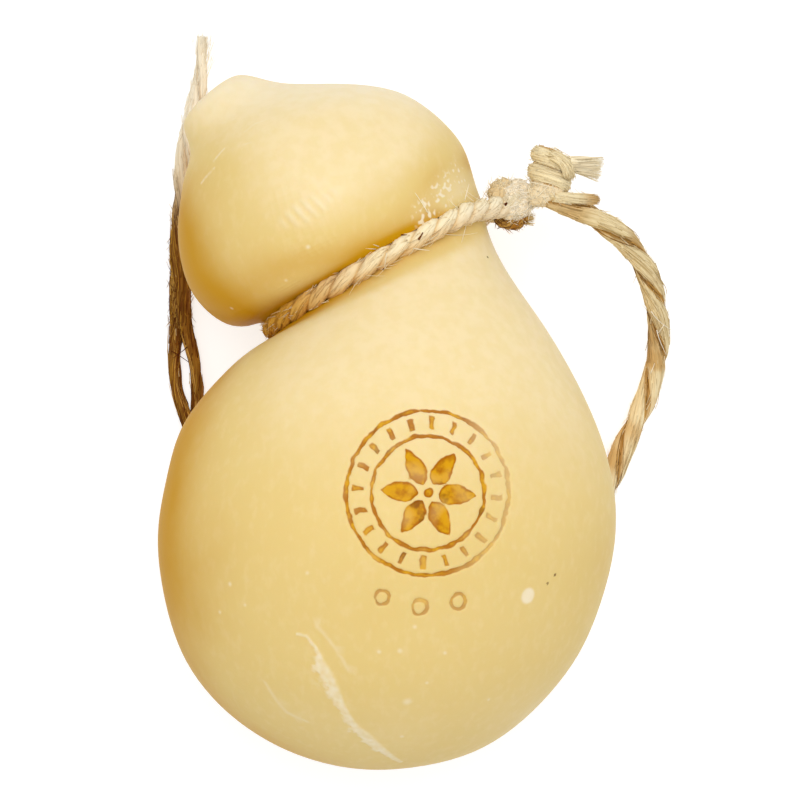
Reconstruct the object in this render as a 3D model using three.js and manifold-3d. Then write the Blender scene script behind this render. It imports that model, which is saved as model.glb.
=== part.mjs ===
// A caciocavallo: a pear-shaped stretched-curd cheese with a tied neck and a small round head,
// lying on its side with the twine that it hangs by.
// Millimetres, +Z up. The length runs along Y, with the head at +Y.

import * as THREE from 'three';
import { mergeVertices } from 'three/addons/utils/BufferGeometryUtils.js';
import Module from 'manifold-3d';

// The cheese in plan: its two ends, and the sections between them from base to head.
// A section has its middle (x, y), its half width, its turn in degrees,
// and the number of rings from it to the next section.
const BASE = { x: -2.0, y: -104.2, rings: 5 };
const SECTIONS = {
  heel: { x: -2.0, y: -96.9, half: 32.0, turn: -0.5, rings: 5 },
  haunch: { x: -1.3, y: -73.5, half: 57.0, turn: 0.9, rings: 6 },
  belly: { x: 0.1, y: -38.4, half: 68.2, turn: 1.9, rings: 4 },
  flank: { x: -0.2, y: -13.1, half: 65.7, turn: 4.0, rings: 4 },
  shoulder: { x: -4.8, y: 10.5, half: 57.1, turn: 11.7, rings: 5 },
  throat: { x: -6.2, y: 32.2, half: 43.7, turn: 21.9, rings: 9 },
  neck: { x: -1.9, y: 45.2, half: 35.5, turn: 29.6, rings: 9 },
  lip: { x: -10.2, y: 47.5, half: 43.0, turn: 26.0, rings: 4 },
  jaw: { x: -16.3, y: 55.3, half: 46.4, turn: 22.0, rings: 4 },
  cheek: { x: -20.7, y: 69.0, half: 45.7, turn: 20.6, rings: 6 },
  crown: { x: -29.1, y: 84.5, half: 36.3, turn: 23.9, rings: 6 },
  nubRoot: { x: -45.9, y: 91.9, half: 17.3, turn: 36.7, rings: 3 },
  nub: { x: -53.2, y: 97.1, half: 11.9, turn: 41.6, rings: 3 },
  nubEnd: { x: -55.1, y: 97.5, half: 7.3, turn: 42.4, rings: 3 },
};
const TIP = { x: -55.5, y: 97.8 };
const RING_SIDES = 60;
const NECK_CROWDING = 1.5;

// The cheese in height: belly and head both touch the surface that it lies on.
const BELLY_AXIS = { y: -38, height: 64 };
const HEAD_AXIS = { y: 62, height: 45.5 };
const BELLY_HEIGHT_TO_WIDTH = 0.955;
const HEAD_HEIGHT_TO_WIDTH = 1;
const NECK_LEAN = THREE.MathUtils.degToRad(1);

// The twine
const ROPE_DIAMETER = 6.8;
const ROPE_SIDES = 10;
const ROPE_BITE = 1.5;
const ROPE_TOWARDS_HEAD = 0.6;
const GROOVE_GAP = 0.5;
const JOINT_GAP = 0.3;

// The two knots beside the neck, the frayed tails and the cut stub
const FIRST_KNOT = new THREE.Vector3(39, 66.3, 48);
const FIRST_KNOT_RADIUS = 6.2;
const FIRST_KNOT_STRETCH = 1.05;
const NECK_RUN_LIFT = 3.8;
const SECOND_KNOT = new THREE.Vector3(49.5, 73, 51);
const SECOND_KNOT_AXIS = new THREE.Vector3(0.2, 1, 0).normalize();
const WRAP_RADIUS = 4.4;
const WRAP_PITCH = 6.8;
const WRAP_TURNS = 2;
const WRAP_DIAMETER = 6.4;
const CORE_RADIUS = 5.6;
const CORE_STRETCH = 1.55;
const LINK = [[39, 66.3, 48], [43.5, 67.5, 49.5], [48, 69.5, 51]];
const UPPER_TAIL = [[50, 76.8, 52], [57, 76.8, 53], [65, 75.4, 52]];
const UPPER_TAIL_DIAMETER = 5;
const LOWER_TAIL = [[35.5, 63, 45], [39, 61, 43.5], [43.5, 60.4, 43]];
const LOWER_TAIL_DIAMETER = 5.2;
const STUB = [[50.5, 68, 55.5], [57.5, 66.2, 56.2], [64.5, 65.4, 55.6]];
const STUB_DIAMETER = 3.4;
const CORD_EXIT_LENGTH = 10;

// The hanging cord's route: out of the second knot, down to the surface, round beneath the belly
// and up past the head to its frayed end.
const CORD_ROUTE = [
  [58, 63.5, 50.4], [62.5, 61.5, 49.2], [68.5, 58, 46.6], [74, 53.5, 42.6], [79, 47.5, 37.4],
  [82.5, 40.5, 30.5], [85, 32.5, 23], [86, 24.5, 15.8], [85.5, 16.5, 10], [83.5, 8, 6],
  [80, -1, 4.1], [75.5, -11, 3.6], [70, -24, 3.6], [63, -41, 3.6], [53.5, -58, 3.6],
  [40, -72.5, 3.6], [23.5, -82, 3.6], [5.5, -85, 3.6], [-12, -83, 3.6], [-28, -75.5, 3.6],
  [-41, -62.5, 3.6], [-50, -46.5, 3.6], [-56, -29, 3.6], [-60.5, -12, 3.6], [-63.5, 4, 3.6],
  [-65.5, 20, 3.6], [-66.5, 36, 3.6], [-66.5, 52, 3.6], [-65.5, 68, 3.6], [-64.5, 84.5, 3.6],
  [-62, 98, 3.6], [-60, 110, 3.6], [-59.5, 122.5, 3.6],
];
const CORD_STEPS = 34;

const RIND = new THREE.MeshStandardMaterial({ color: '#ecd391', roughness: 0.45, metalness: 0 });
const TWINE = new THREE.MeshStandardMaterial({ color: '#c6a86c', roughness: 0.9, metalness: 0 });

const wasm = await Module();
wasm.setup();

const vectors = (points) => points.map((point) => new THREE.Vector3(...point));

// Solids for joining, and the joined solid's surface

function solidOf(geometry) {
  const bare = geometry.clone();
  bare.deleteAttribute('normal');
  bare.deleteAttribute('uv');
  const merged = mergeVertices(bare);
  const vertProperties = Float32Array.from(merged.attributes.position.array);
  const triVerts = Uint32Array.from(merged.index.array);
  return new wasm.Manifold(new wasm.Mesh({ numProp: 3, vertProperties, triVerts }));
}

function surfaceOf(positions, triangles) {
  const geometry = new THREE.BufferGeometry();
  geometry.setAttribute('position', new THREE.Float32BufferAttribute(positions, 3));
  geometry.setIndex(new THREE.Uint32BufferAttribute(triangles, 1));
  geometry.computeVertexNormals();
  return geometry;
}

function joined(geometries) {
  const whole = geometries.map(solidOf).reduce((sum, solid) => sum.add(solid));
  const mesh = whole.getMesh();
  return surfaceOf(mesh.vertProperties, mesh.triVerts);
}

// Rope: a round section carried along a curve

function rope(curve, diameter, steps) {
  const corner = (index) => {
    const angle = (2 * Math.PI * index) / ROPE_SIDES;
    return new THREE.Vector2(Math.cos(angle), Math.sin(angle)).multiplyScalar(diameter / 2);
  };
  const section = new THREE.Shape(Array.from({ length: ROPE_SIDES }, (_, index) => corner(index)));
  return new THREE.ExtrudeGeometry(section, { steps, extrudePath: curve });
}

function throughPoints(points) {
  return new THREE.CatmullRomCurve3(points, false, 'centripetal');
}

// The cheese's outline in plan runs up its right side from base to tip and down its left side.

const sections = Object.values(SECTIONS);

function edgePoint(section, side) {
  const angle = THREE.MathUtils.degToRad(section.turn);
  const reach = side * section.half;
  return new THREE.Vector3(section.x + reach * Math.cos(angle), section.y + reach * Math.sin(angle), 0);
}

const outline = new THREE.CatmullRomCurve3(
  [
    new THREE.Vector3(BASE.x, BASE.y, 0),
    ...sections.map((section) => edgePoint(section, 1)),
    new THREE.Vector3(TIP.x, TIP.y, 0),
    ...sections.map((section) => edgePoint(section, -1)).reverse(),
  ],
  true,
  'centripetal',
);
const OUTLINE_SPANS = 2 * (sections.length + 1);

// A cross-section of the cheese: its middle, and its half axes across and upwards
function crossSection(span) {
  const right = outline.getPoint(span / OUTLINE_SPANS);
  const left = outline.getPoint(1 - span / OUTLINE_SPANS);
  const middle = right.clone().add(left).multiplyScalar(0.5);
  const across = right.clone().sub(left).multiplyScalar(0.5);
  const headShare = THREE.MathUtils.smoothstep(middle.y, BELLY_AXIS.y, HEAD_AXIS.y);
  middle.z = THREE.MathUtils.lerp(BELLY_AXIS.height, HEAD_AXIS.height, headShare);
  const lean = NECK_LEAN * headShare;
  const forward = new THREE.Vector3(-across.y, across.x, 0);
  const up = forward.multiplyScalar(Math.sin(lean)).setZ(across.length() * Math.cos(lean));
  up.multiplyScalar(THREE.MathUtils.lerp(BELLY_HEIGHT_TO_WIDTH, HEAD_HEIGHT_TO_WIDTH, headShare));
  return { middle, across, up };
}

function pointOn({ middle, across, up }, angle) {
  return middle.clone().addScaledVector(across, Math.cos(angle)).addScaledVector(up, Math.sin(angle));
}

// The twine's loop round the neck: an oval in the neck's own section,
// with straight runs from its right side into the first knot.

const NECK_SPAN = 1 + Object.keys(SECTIONS).indexOf('neck');
const LOOP_POINTS = 28;

function neckLoop() {
  const neck = crossSection(NECK_SPAN);
  const acrossReach = neck.across.length() + ROPE_DIAMETER / 2 - ROPE_BITE;
  const upReach = neck.up.length() + ROPE_DIAMETER / 2 - ROPE_BITE;
  neck.across.setLength(acrossReach);
  neck.up.setLength(upReach);
  const forward = new THREE.Vector3().crossVectors(neck.up, neck.across).normalize();
  neck.middle.addScaledVector(forward, ROPE_TOWARDS_HEAD);
  const knotReach = FIRST_KNOT.distanceTo(neck.middle);
  const leavingAngle = Math.acos(acrossReach / knotReach);
  const points = [];
  for (let index = 0; index <= LOOP_POINTS; index += 1) {
    const angle = THREE.MathUtils.lerp(leavingAngle, 2 * Math.PI - leavingAngle, index / LOOP_POINTS);
    points.push(pointOn(neck, angle));
  }
  const intoKnot = (lift) => FIRST_KNOT.clone().setZ(FIRST_KNOT.z + lift);
  return throughPoints([intoKnot(NECK_RUN_LIFT), ...points, intoKnot(-NECK_RUN_LIFT)]);
}

// The cheese: rings joined from base to tip, pressed in by the twine and flat where it lies.
// The rings crowd together towards the neck, and there they settle evenly round the twine.

function ringSpansFromBase() {
  const spans = [];
  [BASE, ...sections].forEach((section, index) => {
    for (let ring = 0; ring < section.rings; ring += 1) {
      let share = ring / section.rings;
      if (section === SECTIONS.throat) {
        share = 1 - (1 - share) ** NECK_CROWDING;
      } else if (section === SECTIONS.neck) {
        share **= NECK_CROWDING;
      }
      spans.push(index + share);
    }
  });
  return spans.slice(1);
}

const LOOP_STEPS = 60;
const GROOVE_SAMPLES = 360;
const SETTLING_PASSES = 10;
const GROOVE_SPREAD = 0.6;

function cheese(loop) {
  const grooveLine = loop.getSpacedPoints(GROOVE_SAMPLES);
  const grooveRadius = ROPE_DIAMETER / 2 + GROOVE_GAP;

  const pressedByTwine = (point) => {
    const distances = grooveLine.map((onLine) => onLine.distanceToSquared(point));
    const nearest = grooveLine[distances.indexOf(Math.min(...distances))];
    const away = point.clone().sub(nearest);
    if (away.length() < grooveRadius) {
      point.copy(nearest).add(away.setLength(grooveRadius));
    }
    return point;
  };

  const ringSpans = ringSpansFromBase();
  const rings = ringSpans.map((span) => {
    const section = crossSection(span);
    const pointAt = (_, side) => pointOn(section, (2 * Math.PI * side) / RING_SIDES);
    return Array.from({ length: RING_SIDES }, pointAt).map(pressedByTwine);
  });

  const isBesideTwine = (ring) => Math.abs(ringSpans[ring] - NECK_SPAN) < GROOVE_SPREAD;
  const besideTwine = [...rings.keys()].filter(isBesideTwine);
  for (let pass = 0; pass < SETTLING_PASSES; pass += 1) {
    for (const ring of besideTwine) {
      rings[ring].forEach((point, side) => {
        point.addVectors(rings[ring - 1][side], rings[ring + 1][side]).multiplyScalar(0.5);
        pressedByTwine(point);
      });
    }
  }

  const positions = [];
  const addPoint = (point) => positions.push(point.x, point.y, Math.max(point.z, 0));
  rings.flat().forEach(addPoint);
  const basePole = positions.length / 3;
  addPoint(crossSection(0).middle);
  const tipPole = basePole + 1;
  addPoint(crossSection(sections.length + 1).middle);

  const triangles = [];
  const corner = (ring, side) => ring * RING_SIDES + (side % RING_SIDES);
  const lastRing = ringSpans.length - 1;
  for (let side = 0; side < RING_SIDES; side += 1) {
    triangles.push(basePole, corner(0, side), corner(0, side + 1));
    triangles.push(tipPole, corner(lastRing, side + 1), corner(lastRing, side));
    for (let ring = 0; ring < lastRing; ring += 1) {
      triangles.push(corner(ring, side), corner(ring + 1, side), corner(ring + 1, side + 1));
      triangles.push(corner(ring, side), corner(ring + 1, side + 1), corner(ring, side + 1));
    }
  }
  return surfaceOf(positions, triangles);
}

// The knots: a round lump where the loop closes, and a rope wrapped round a core

const KNOT_SIDES = 16;

function lump(centre, radius, stretch, axis) {
  const geometry = new THREE.SphereGeometry(radius, KNOT_SIDES, KNOT_SIDES / 2);
  geometry.scale(1, stretch, 1);
  const upright = new THREE.Vector3(0, 1, 0);
  geometry.applyQuaternion(new THREE.Quaternion().setFromUnitVectors(upright, axis));
  return geometry.translate(centre.x, centre.y, centre.z);
}

const WRAP_POINTS_PER_TURN = 10;
const WRAP_STEPS_PER_TURN = 14;

function wrap(centre, axis) {
  const upwards = new THREE.Vector3(0, 0, 1);
  const sideways = new THREE.Vector3().crossVectors(axis, upwards);
  const points = [];
  for (let index = 0; index <= WRAP_TURNS * WRAP_POINTS_PER_TURN; index += 1) {
    const turns = index / WRAP_POINTS_PER_TURN;
    const angle = 2 * Math.PI * turns;
    points.push(
      centre
        .clone()
        .addScaledVector(axis, WRAP_PITCH * (turns - WRAP_TURNS / 2))
        .addScaledVector(sideways, WRAP_RADIUS * Math.cos(angle))
        .addScaledVector(upwards, WRAP_RADIUS * Math.sin(angle)),
    );
  }
  return rope(throughPoints(points), WRAP_DIAMETER, WRAP_TURNS * WRAP_STEPS_PER_TURN);
}

const SHORT_ROPE_STEPS = 4;

function shortRope(points, diameter) {
  return rope(throughPoints(vectors(points)), diameter, SHORT_ROPE_STEPS);
}

// The hanging cord starts face to face with a short straight rope that leaves the second knot.

const cordRoute = throughPoints(vectors(CORD_ROUTE));
const cordStart = cordRoute.getPoint(0);
const cordDirection = cordRoute.getTangent(0);

function cordExit() {
  const inside = cordStart.clone().addScaledVector(cordDirection, -CORD_EXIT_LENGTH);
  const face = cordStart.clone().addScaledVector(cordDirection, -JOINT_GAP);
  return rope(new THREE.LineCurve3(inside, face), ROPE_DIAMETER, 1);
}

function hangCord() {
  return rope(cordRoute, ROPE_DIAMETER, CORD_STEPS);
}

function neckTie(loop) {
  const knotDirection = new THREE.Vector3().subVectors(SECOND_KNOT, FIRST_KNOT).normalize();
  return joined([
    rope(loop, ROPE_DIAMETER, LOOP_STEPS),
    lump(FIRST_KNOT, FIRST_KNOT_RADIUS, FIRST_KNOT_STRETCH, knotDirection),
    shortRope(LINK, ROPE_DIAMETER),
    lump(SECOND_KNOT, CORE_RADIUS, CORE_STRETCH, SECOND_KNOT_AXIS),
    wrap(SECOND_KNOT, SECOND_KNOT_AXIS),
    shortRope(UPPER_TAIL, UPPER_TAIL_DIAMETER),
    shortRope(LOWER_TAIL, LOWER_TAIL_DIAMETER),
    shortRope(STUB, STUB_DIAMETER),
    cordExit(),
  ]);
}

const caciocavallo = new THREE.Group();

function addPart(name, geometry, material) {
  const part = new THREE.Mesh(geometry, material);
  part.name = name;
  caciocavallo.add(part);
}

const loop = neckLoop();
addPart('cheese', cheese(loop), RIND);
addPart('neck_tie', neckTie(loop), TWINE);
addPart('hang_cord', hangCord(), TWINE);

export default caciocavallo;
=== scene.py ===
import math
import random
from typing import NamedTuple

import bmesh
import bpy
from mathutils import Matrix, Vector, geometry, noise


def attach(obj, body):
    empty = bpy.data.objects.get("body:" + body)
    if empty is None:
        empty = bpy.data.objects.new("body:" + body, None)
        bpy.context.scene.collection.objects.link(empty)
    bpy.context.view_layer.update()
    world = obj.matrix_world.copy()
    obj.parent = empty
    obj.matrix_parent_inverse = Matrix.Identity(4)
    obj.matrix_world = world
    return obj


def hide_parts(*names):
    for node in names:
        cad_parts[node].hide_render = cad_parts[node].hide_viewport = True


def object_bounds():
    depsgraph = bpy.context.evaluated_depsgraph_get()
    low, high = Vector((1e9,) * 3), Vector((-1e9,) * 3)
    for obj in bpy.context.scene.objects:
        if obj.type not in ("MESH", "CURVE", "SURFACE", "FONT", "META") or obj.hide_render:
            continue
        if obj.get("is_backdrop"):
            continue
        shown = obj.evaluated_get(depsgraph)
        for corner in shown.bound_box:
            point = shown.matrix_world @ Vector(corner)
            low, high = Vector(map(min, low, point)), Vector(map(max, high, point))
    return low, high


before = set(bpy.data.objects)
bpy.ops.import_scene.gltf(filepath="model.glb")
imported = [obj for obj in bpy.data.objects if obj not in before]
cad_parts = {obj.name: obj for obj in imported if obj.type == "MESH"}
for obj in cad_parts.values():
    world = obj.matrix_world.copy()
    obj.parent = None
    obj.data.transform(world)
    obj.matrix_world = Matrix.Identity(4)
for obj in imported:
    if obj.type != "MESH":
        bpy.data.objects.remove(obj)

MM = 0.001
UP = Vector((0, 0, 1))
WHITE = (1, 1, 1, 1)
SEED = 11
cad_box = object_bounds()
random.seed(SEED)
noise.seed_set(SEED)


def add(name, data):
    """A new object, put in the scene."""
    made = bpy.data.objects.new(name, data)
    bpy.context.scene.collection.objects.link(made)
    return made


# Camera straight above the table
CAMERA_PLACE = (0.0041, 0.00555, 0.850)
CAMERA_LENS = 118.5
SENSOR_WIDTH = 36


def make_camera():
    data = bpy.data.cameras.new("camera")
    data.lens = CAMERA_LENS
    data.sensor_width = SENSOR_WIDTH
    data.dof.use_dof = False
    camera = add("camera", data)
    camera.location = CAMERA_PLACE
    bpy.context.scene.camera = camera


make_camera()


# Shader sums
class Value:
    """A node's output that can be used in sums."""

    def __init__(self, shader, socket):
        self.shader = shader
        self.socket = socket

    def sum(self, operation, first, second):
        return self.shader.node("ShaderNodeMath", {"operation": operation}, {0: first, 1: second})

    def __add__(self, other):
        return self.sum("ADD", self, other)

    def __radd__(self, other):
        return self.sum("ADD", other, self)

    def __sub__(self, other):
        return self.sum("SUBTRACT", self, other)

    def __rsub__(self, other):
        return self.sum("SUBTRACT", other, self)

    def __mul__(self, other):
        return self.sum("MULTIPLY", self, other)

    def __rmul__(self, other):
        return self.sum("MULTIPLY", other, self)


class Shader:
    """A material whose nodes are made one by one."""

    def __init__(self, name):
        self.material = bpy.data.materials.new(name)
        self.material.use_nodes = True
        self.tree = self.material.node_tree
        self.tree.nodes.clear()

    def node(self, kind, settings, inputs, output=0):
        made = self.tree.nodes.new(kind)
        for name, value in settings.items():
            setattr(made, name, value)
        for key, value in inputs.items():
            if isinstance(value, Value):
                self.tree.links.new(value.socket, made.inputs[key])
            else:
                made.inputs[key].default_value = value
        return Value(self, made.outputs[output])

    def place(self):
        return self.node("ShaderNodeTexCoord", {}, {}, "Object")

    def attribute(self, name):
        return self.node("ShaderNodeAttribute", {"attribute_name": name}, {}, "Fac")

    def noise(self, place, scale, detail=2.0, roughness=0.5):
        inputs = {"Vector": place, "Scale": scale, "Detail": detail, "Roughness": roughness}
        return self.node("ShaderNodeTexNoise", {}, inputs)

    def stretch(self, place, scale):
        return self.node("ShaderNodeVectorMath", {"operation": "MULTIPLY"}, {0: place, 1: scale})

    def ramp(self, value, low, high):
        settings = {"interpolation_type": "SMOOTHSTEP"}
        return self.node("ShaderNodeMapRange", settings, {"Value": value, "From Min": low, "From Max": high})

    def mix(self, amount, first, second):
        settings = {"data_type": "RGBA"}
        return self.node("ShaderNodeMix", settings, {0: amount, 6: first, 7: second}, 2)

    def bump(self, height, strength, distance):
        inputs = {"Height": height, "Strength": strength, "Distance": distance}
        return self.node("ShaderNodeBump", {}, inputs)

    def surface(self, inputs):
        skin = self.node("ShaderNodeBsdfPrincipled", {}, inputs)
        end = self.tree.nodes.new("ShaderNodeOutputMaterial")
        self.tree.links.new(skin.socket, end.inputs["Surface"])
        return self.material


# Twine colours: olive straw to cream fibres, brown where stained, chalky where felted, and painted shade:
# golden in the folds, brown and golden in the seams, in the crease, on the side towards the cheese and on
# the cord's left stretch
FIBRE = (0.52, 0.355, 0.120, 1)
FIBRE_PALE = (0.93, 0.80, 0.51, 1)
FIBRE_BROWN = (0.30, 0.150, 0.030, 1)
FOLD_SHADE_TINT = (0.72, 0.50, 0.19)
STAIN_AND_SHADE_BROWN = (0.125, 0.030, 0.001, 1)
STAIN_AND_SHADE_GOLD = (0.64, 0.34, 0.040, 1)
FELT = (1.0, 0.92, 0.76, 1)
WEAVE_STRETCH = (24, 1.5, 1)
TONE_SWING = 0.8
PALE_TONES = (0.15, 0.85)
BROWN_TONES = (0.12, -0.05)
BROWN_MOST = 0.85
FELT_LEAST = 0.6
FELT_BY_TONE = 0.4


class Tint(NamedTuple):
    """How brown from stains and painted shade, felted and shaded a bit of twine is, and how pale its fibre
    is.
    """
    stain: float = 0.0
    felt: float = 0.0
    shade: float = 0.0
    tone: float = 0.5


def twine_material():
    shader = Shader("twine fibres")
    weave = shader.node("ShaderNodeTexCoord", {}, {}, "UV")
    fine = shader.noise(shader.stretch(weave, WEAVE_STRETCH), 1.0, detail=3.0, roughness=0.6)
    tone = shader.attribute("tone") + (fine - 0.5) * TONE_SWING
    straw = shader.mix(shader.ramp(tone, *PALE_TONES), FIBRE, FIBRE_PALE)
    straw = shader.mix(shader.ramp(tone, *BROWN_TONES) * BROWN_MOST, straw, FIBRE_BROWN)
    stained = shader.mix(shader.ramp(tone, *PALE_TONES), STAIN_AND_SHADE_BROWN, STAIN_AND_SHADE_GOLD)
    # real brown stains, and painted shade on the rope's side towards the body, in the crease, in the seams
    # and on the cord's left stretch
    colour = shader.mix(shader.attribute("stain"), straw, stained)
    colour = shader.mix(shader.attribute("felt") * (FELT_LEAST + tone * FELT_BY_TONE), colour, FELT)
    # painted shade in the folds and seams
    colour = shader.mix(shader.attribute("shade"), colour, shader.stretch(colour, FOLD_SHADE_TINT))
    return shader.surface({
        "Base Color": colour,
        "Roughness": 0.62 + fine * 0.2,
        "Specular IOR Level": 0.12,
        "Normal": shader.bump(fine, strength=0.6, distance=0.0004),
    })


TWINE = twine_material()


# Lines that the twine follows
def smooth_line(corners):
    """Fine points on a smooth line through the corners."""
    fine_steps = 16
    last = len(corners) - 1
    line = []
    for i in range(last):
        start = corners[i]
        end = corners[i + 1]
        reach = (end - start).length / 3
        leave = start + (end - corners[max(i - 1, 0)]).normalized() * reach
        arrive = end - (corners[min(i + 2, last)] - start).normalized() * reach
        line += geometry.interpolate_bezier(start, leave, arrive, end, fine_steps)[:-1]
    line.append(corners[last].copy())
    return line


class Route:
    """A smooth line cut into even steps, with a frame carried along it."""

    def __init__(self, corners, step):
        fine = smooth_line(corners)
        reached = [0.0]
        for start, end in zip(fine, fine[1:]):
            reached.append(reached[-1] + (end - start).length)
        self.length = reached[-1]
        self.rows = max(3, round(self.length / step) + 1)
        self.along = [self.length * row / (self.rows - 1) for row in range(self.rows)]
        self.points = []
        piece = 0
        for distance in self.along:
            while piece < len(fine) - 2 and reached[piece + 1] < distance:
                piece += 1
            share = (distance - reached[piece]) / (reached[piece + 1] - reached[piece])
            self.points.append(fine[piece].lerp(fine[piece + 1], share))
        self.carry_frame()

    def carry_frame(self):
        last = self.rows - 1
        self.ways = []
        for row in range(self.rows):
            way = self.points[min(row + 1, last)] - self.points[max(row - 1, 0)]
            self.ways.append(way.normalized())
        first = self.ways[0]
        normal = UP - first * UP.dot(first)
        if normal.length < 0.1:
            normal = first.orthogonal()
        self.normals = []
        for row in range(self.rows):
            normal = normal - self.ways[row] * normal.dot(self.ways[row])
            normal.normalize()
            self.normals.append(normal.copy())
        self.sides = [way.cross(normal) for way, normal in zip(self.ways, self.normals)]

    def outward(self, row, angle):
        return self.normals[row] * math.cos(angle) + self.sides[row] * math.sin(angle)

    def angle_of(self, row, way):
        return math.atan2(way.dot(self.sides[row]), way.dot(self.normals[row]))


def metres(points):
    return [Vector(point) for point in points]


def ease(low, high, value):
    """0 below low, 1 above high and smooth between them."""
    share = min(max((value - low) / (high - low), 0.0), 1.0)
    return share * share * (3 - 2 * share)


# Twine pieces: plies made of sheets rolled round their lines, with fibres laid on their skin
WEAVE_PER_METRE = 100
GRAIN_SEEDS = 100
GRAIN_TURN = 2.1
GRAIN_LENGTH = 9 * MM
GRAIN_FINER = 2.3
GRAIN_FINE = 0.6
SLUB = 0.12
SLUB_LENGTH = 8 * MM
SKIN_TURN = 0.33
# Painted shade: a darker fold and stain towards the seams, dark fibres laid in the seams, and golden brown
# on the rope's lee side
SEAM_TURN = (0.26, 0.34)
SEAM_FADE = 0.45
SEAM_SHADE_STAIN = 0.9
FELT_HIDES = 0.7
LEE_SHADE_STAIN = 0.88
LEE_FROM = (-0.2, 0.9)
FIBRE_ROWS = (8, 22)
FIBRE_SHORTEST = 6
FIBRE_STRIDE = 2
FIBRE_SIDES = 3
FIBRE_RADIUS = (0.10 * MM, 0.22 * MM)
FIBRE_LENGTHS = (0.3, 1.0)
FIBRE_LIFT = 0.05 * MM
FIBRE_SPRING = 1.1 * MM
FIBRE_SPRING_POWER = 6
FIBRE_DRIFT = 0.045
TIP_THIN = 0.6
TONE_SPREAD = 0.42


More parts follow.
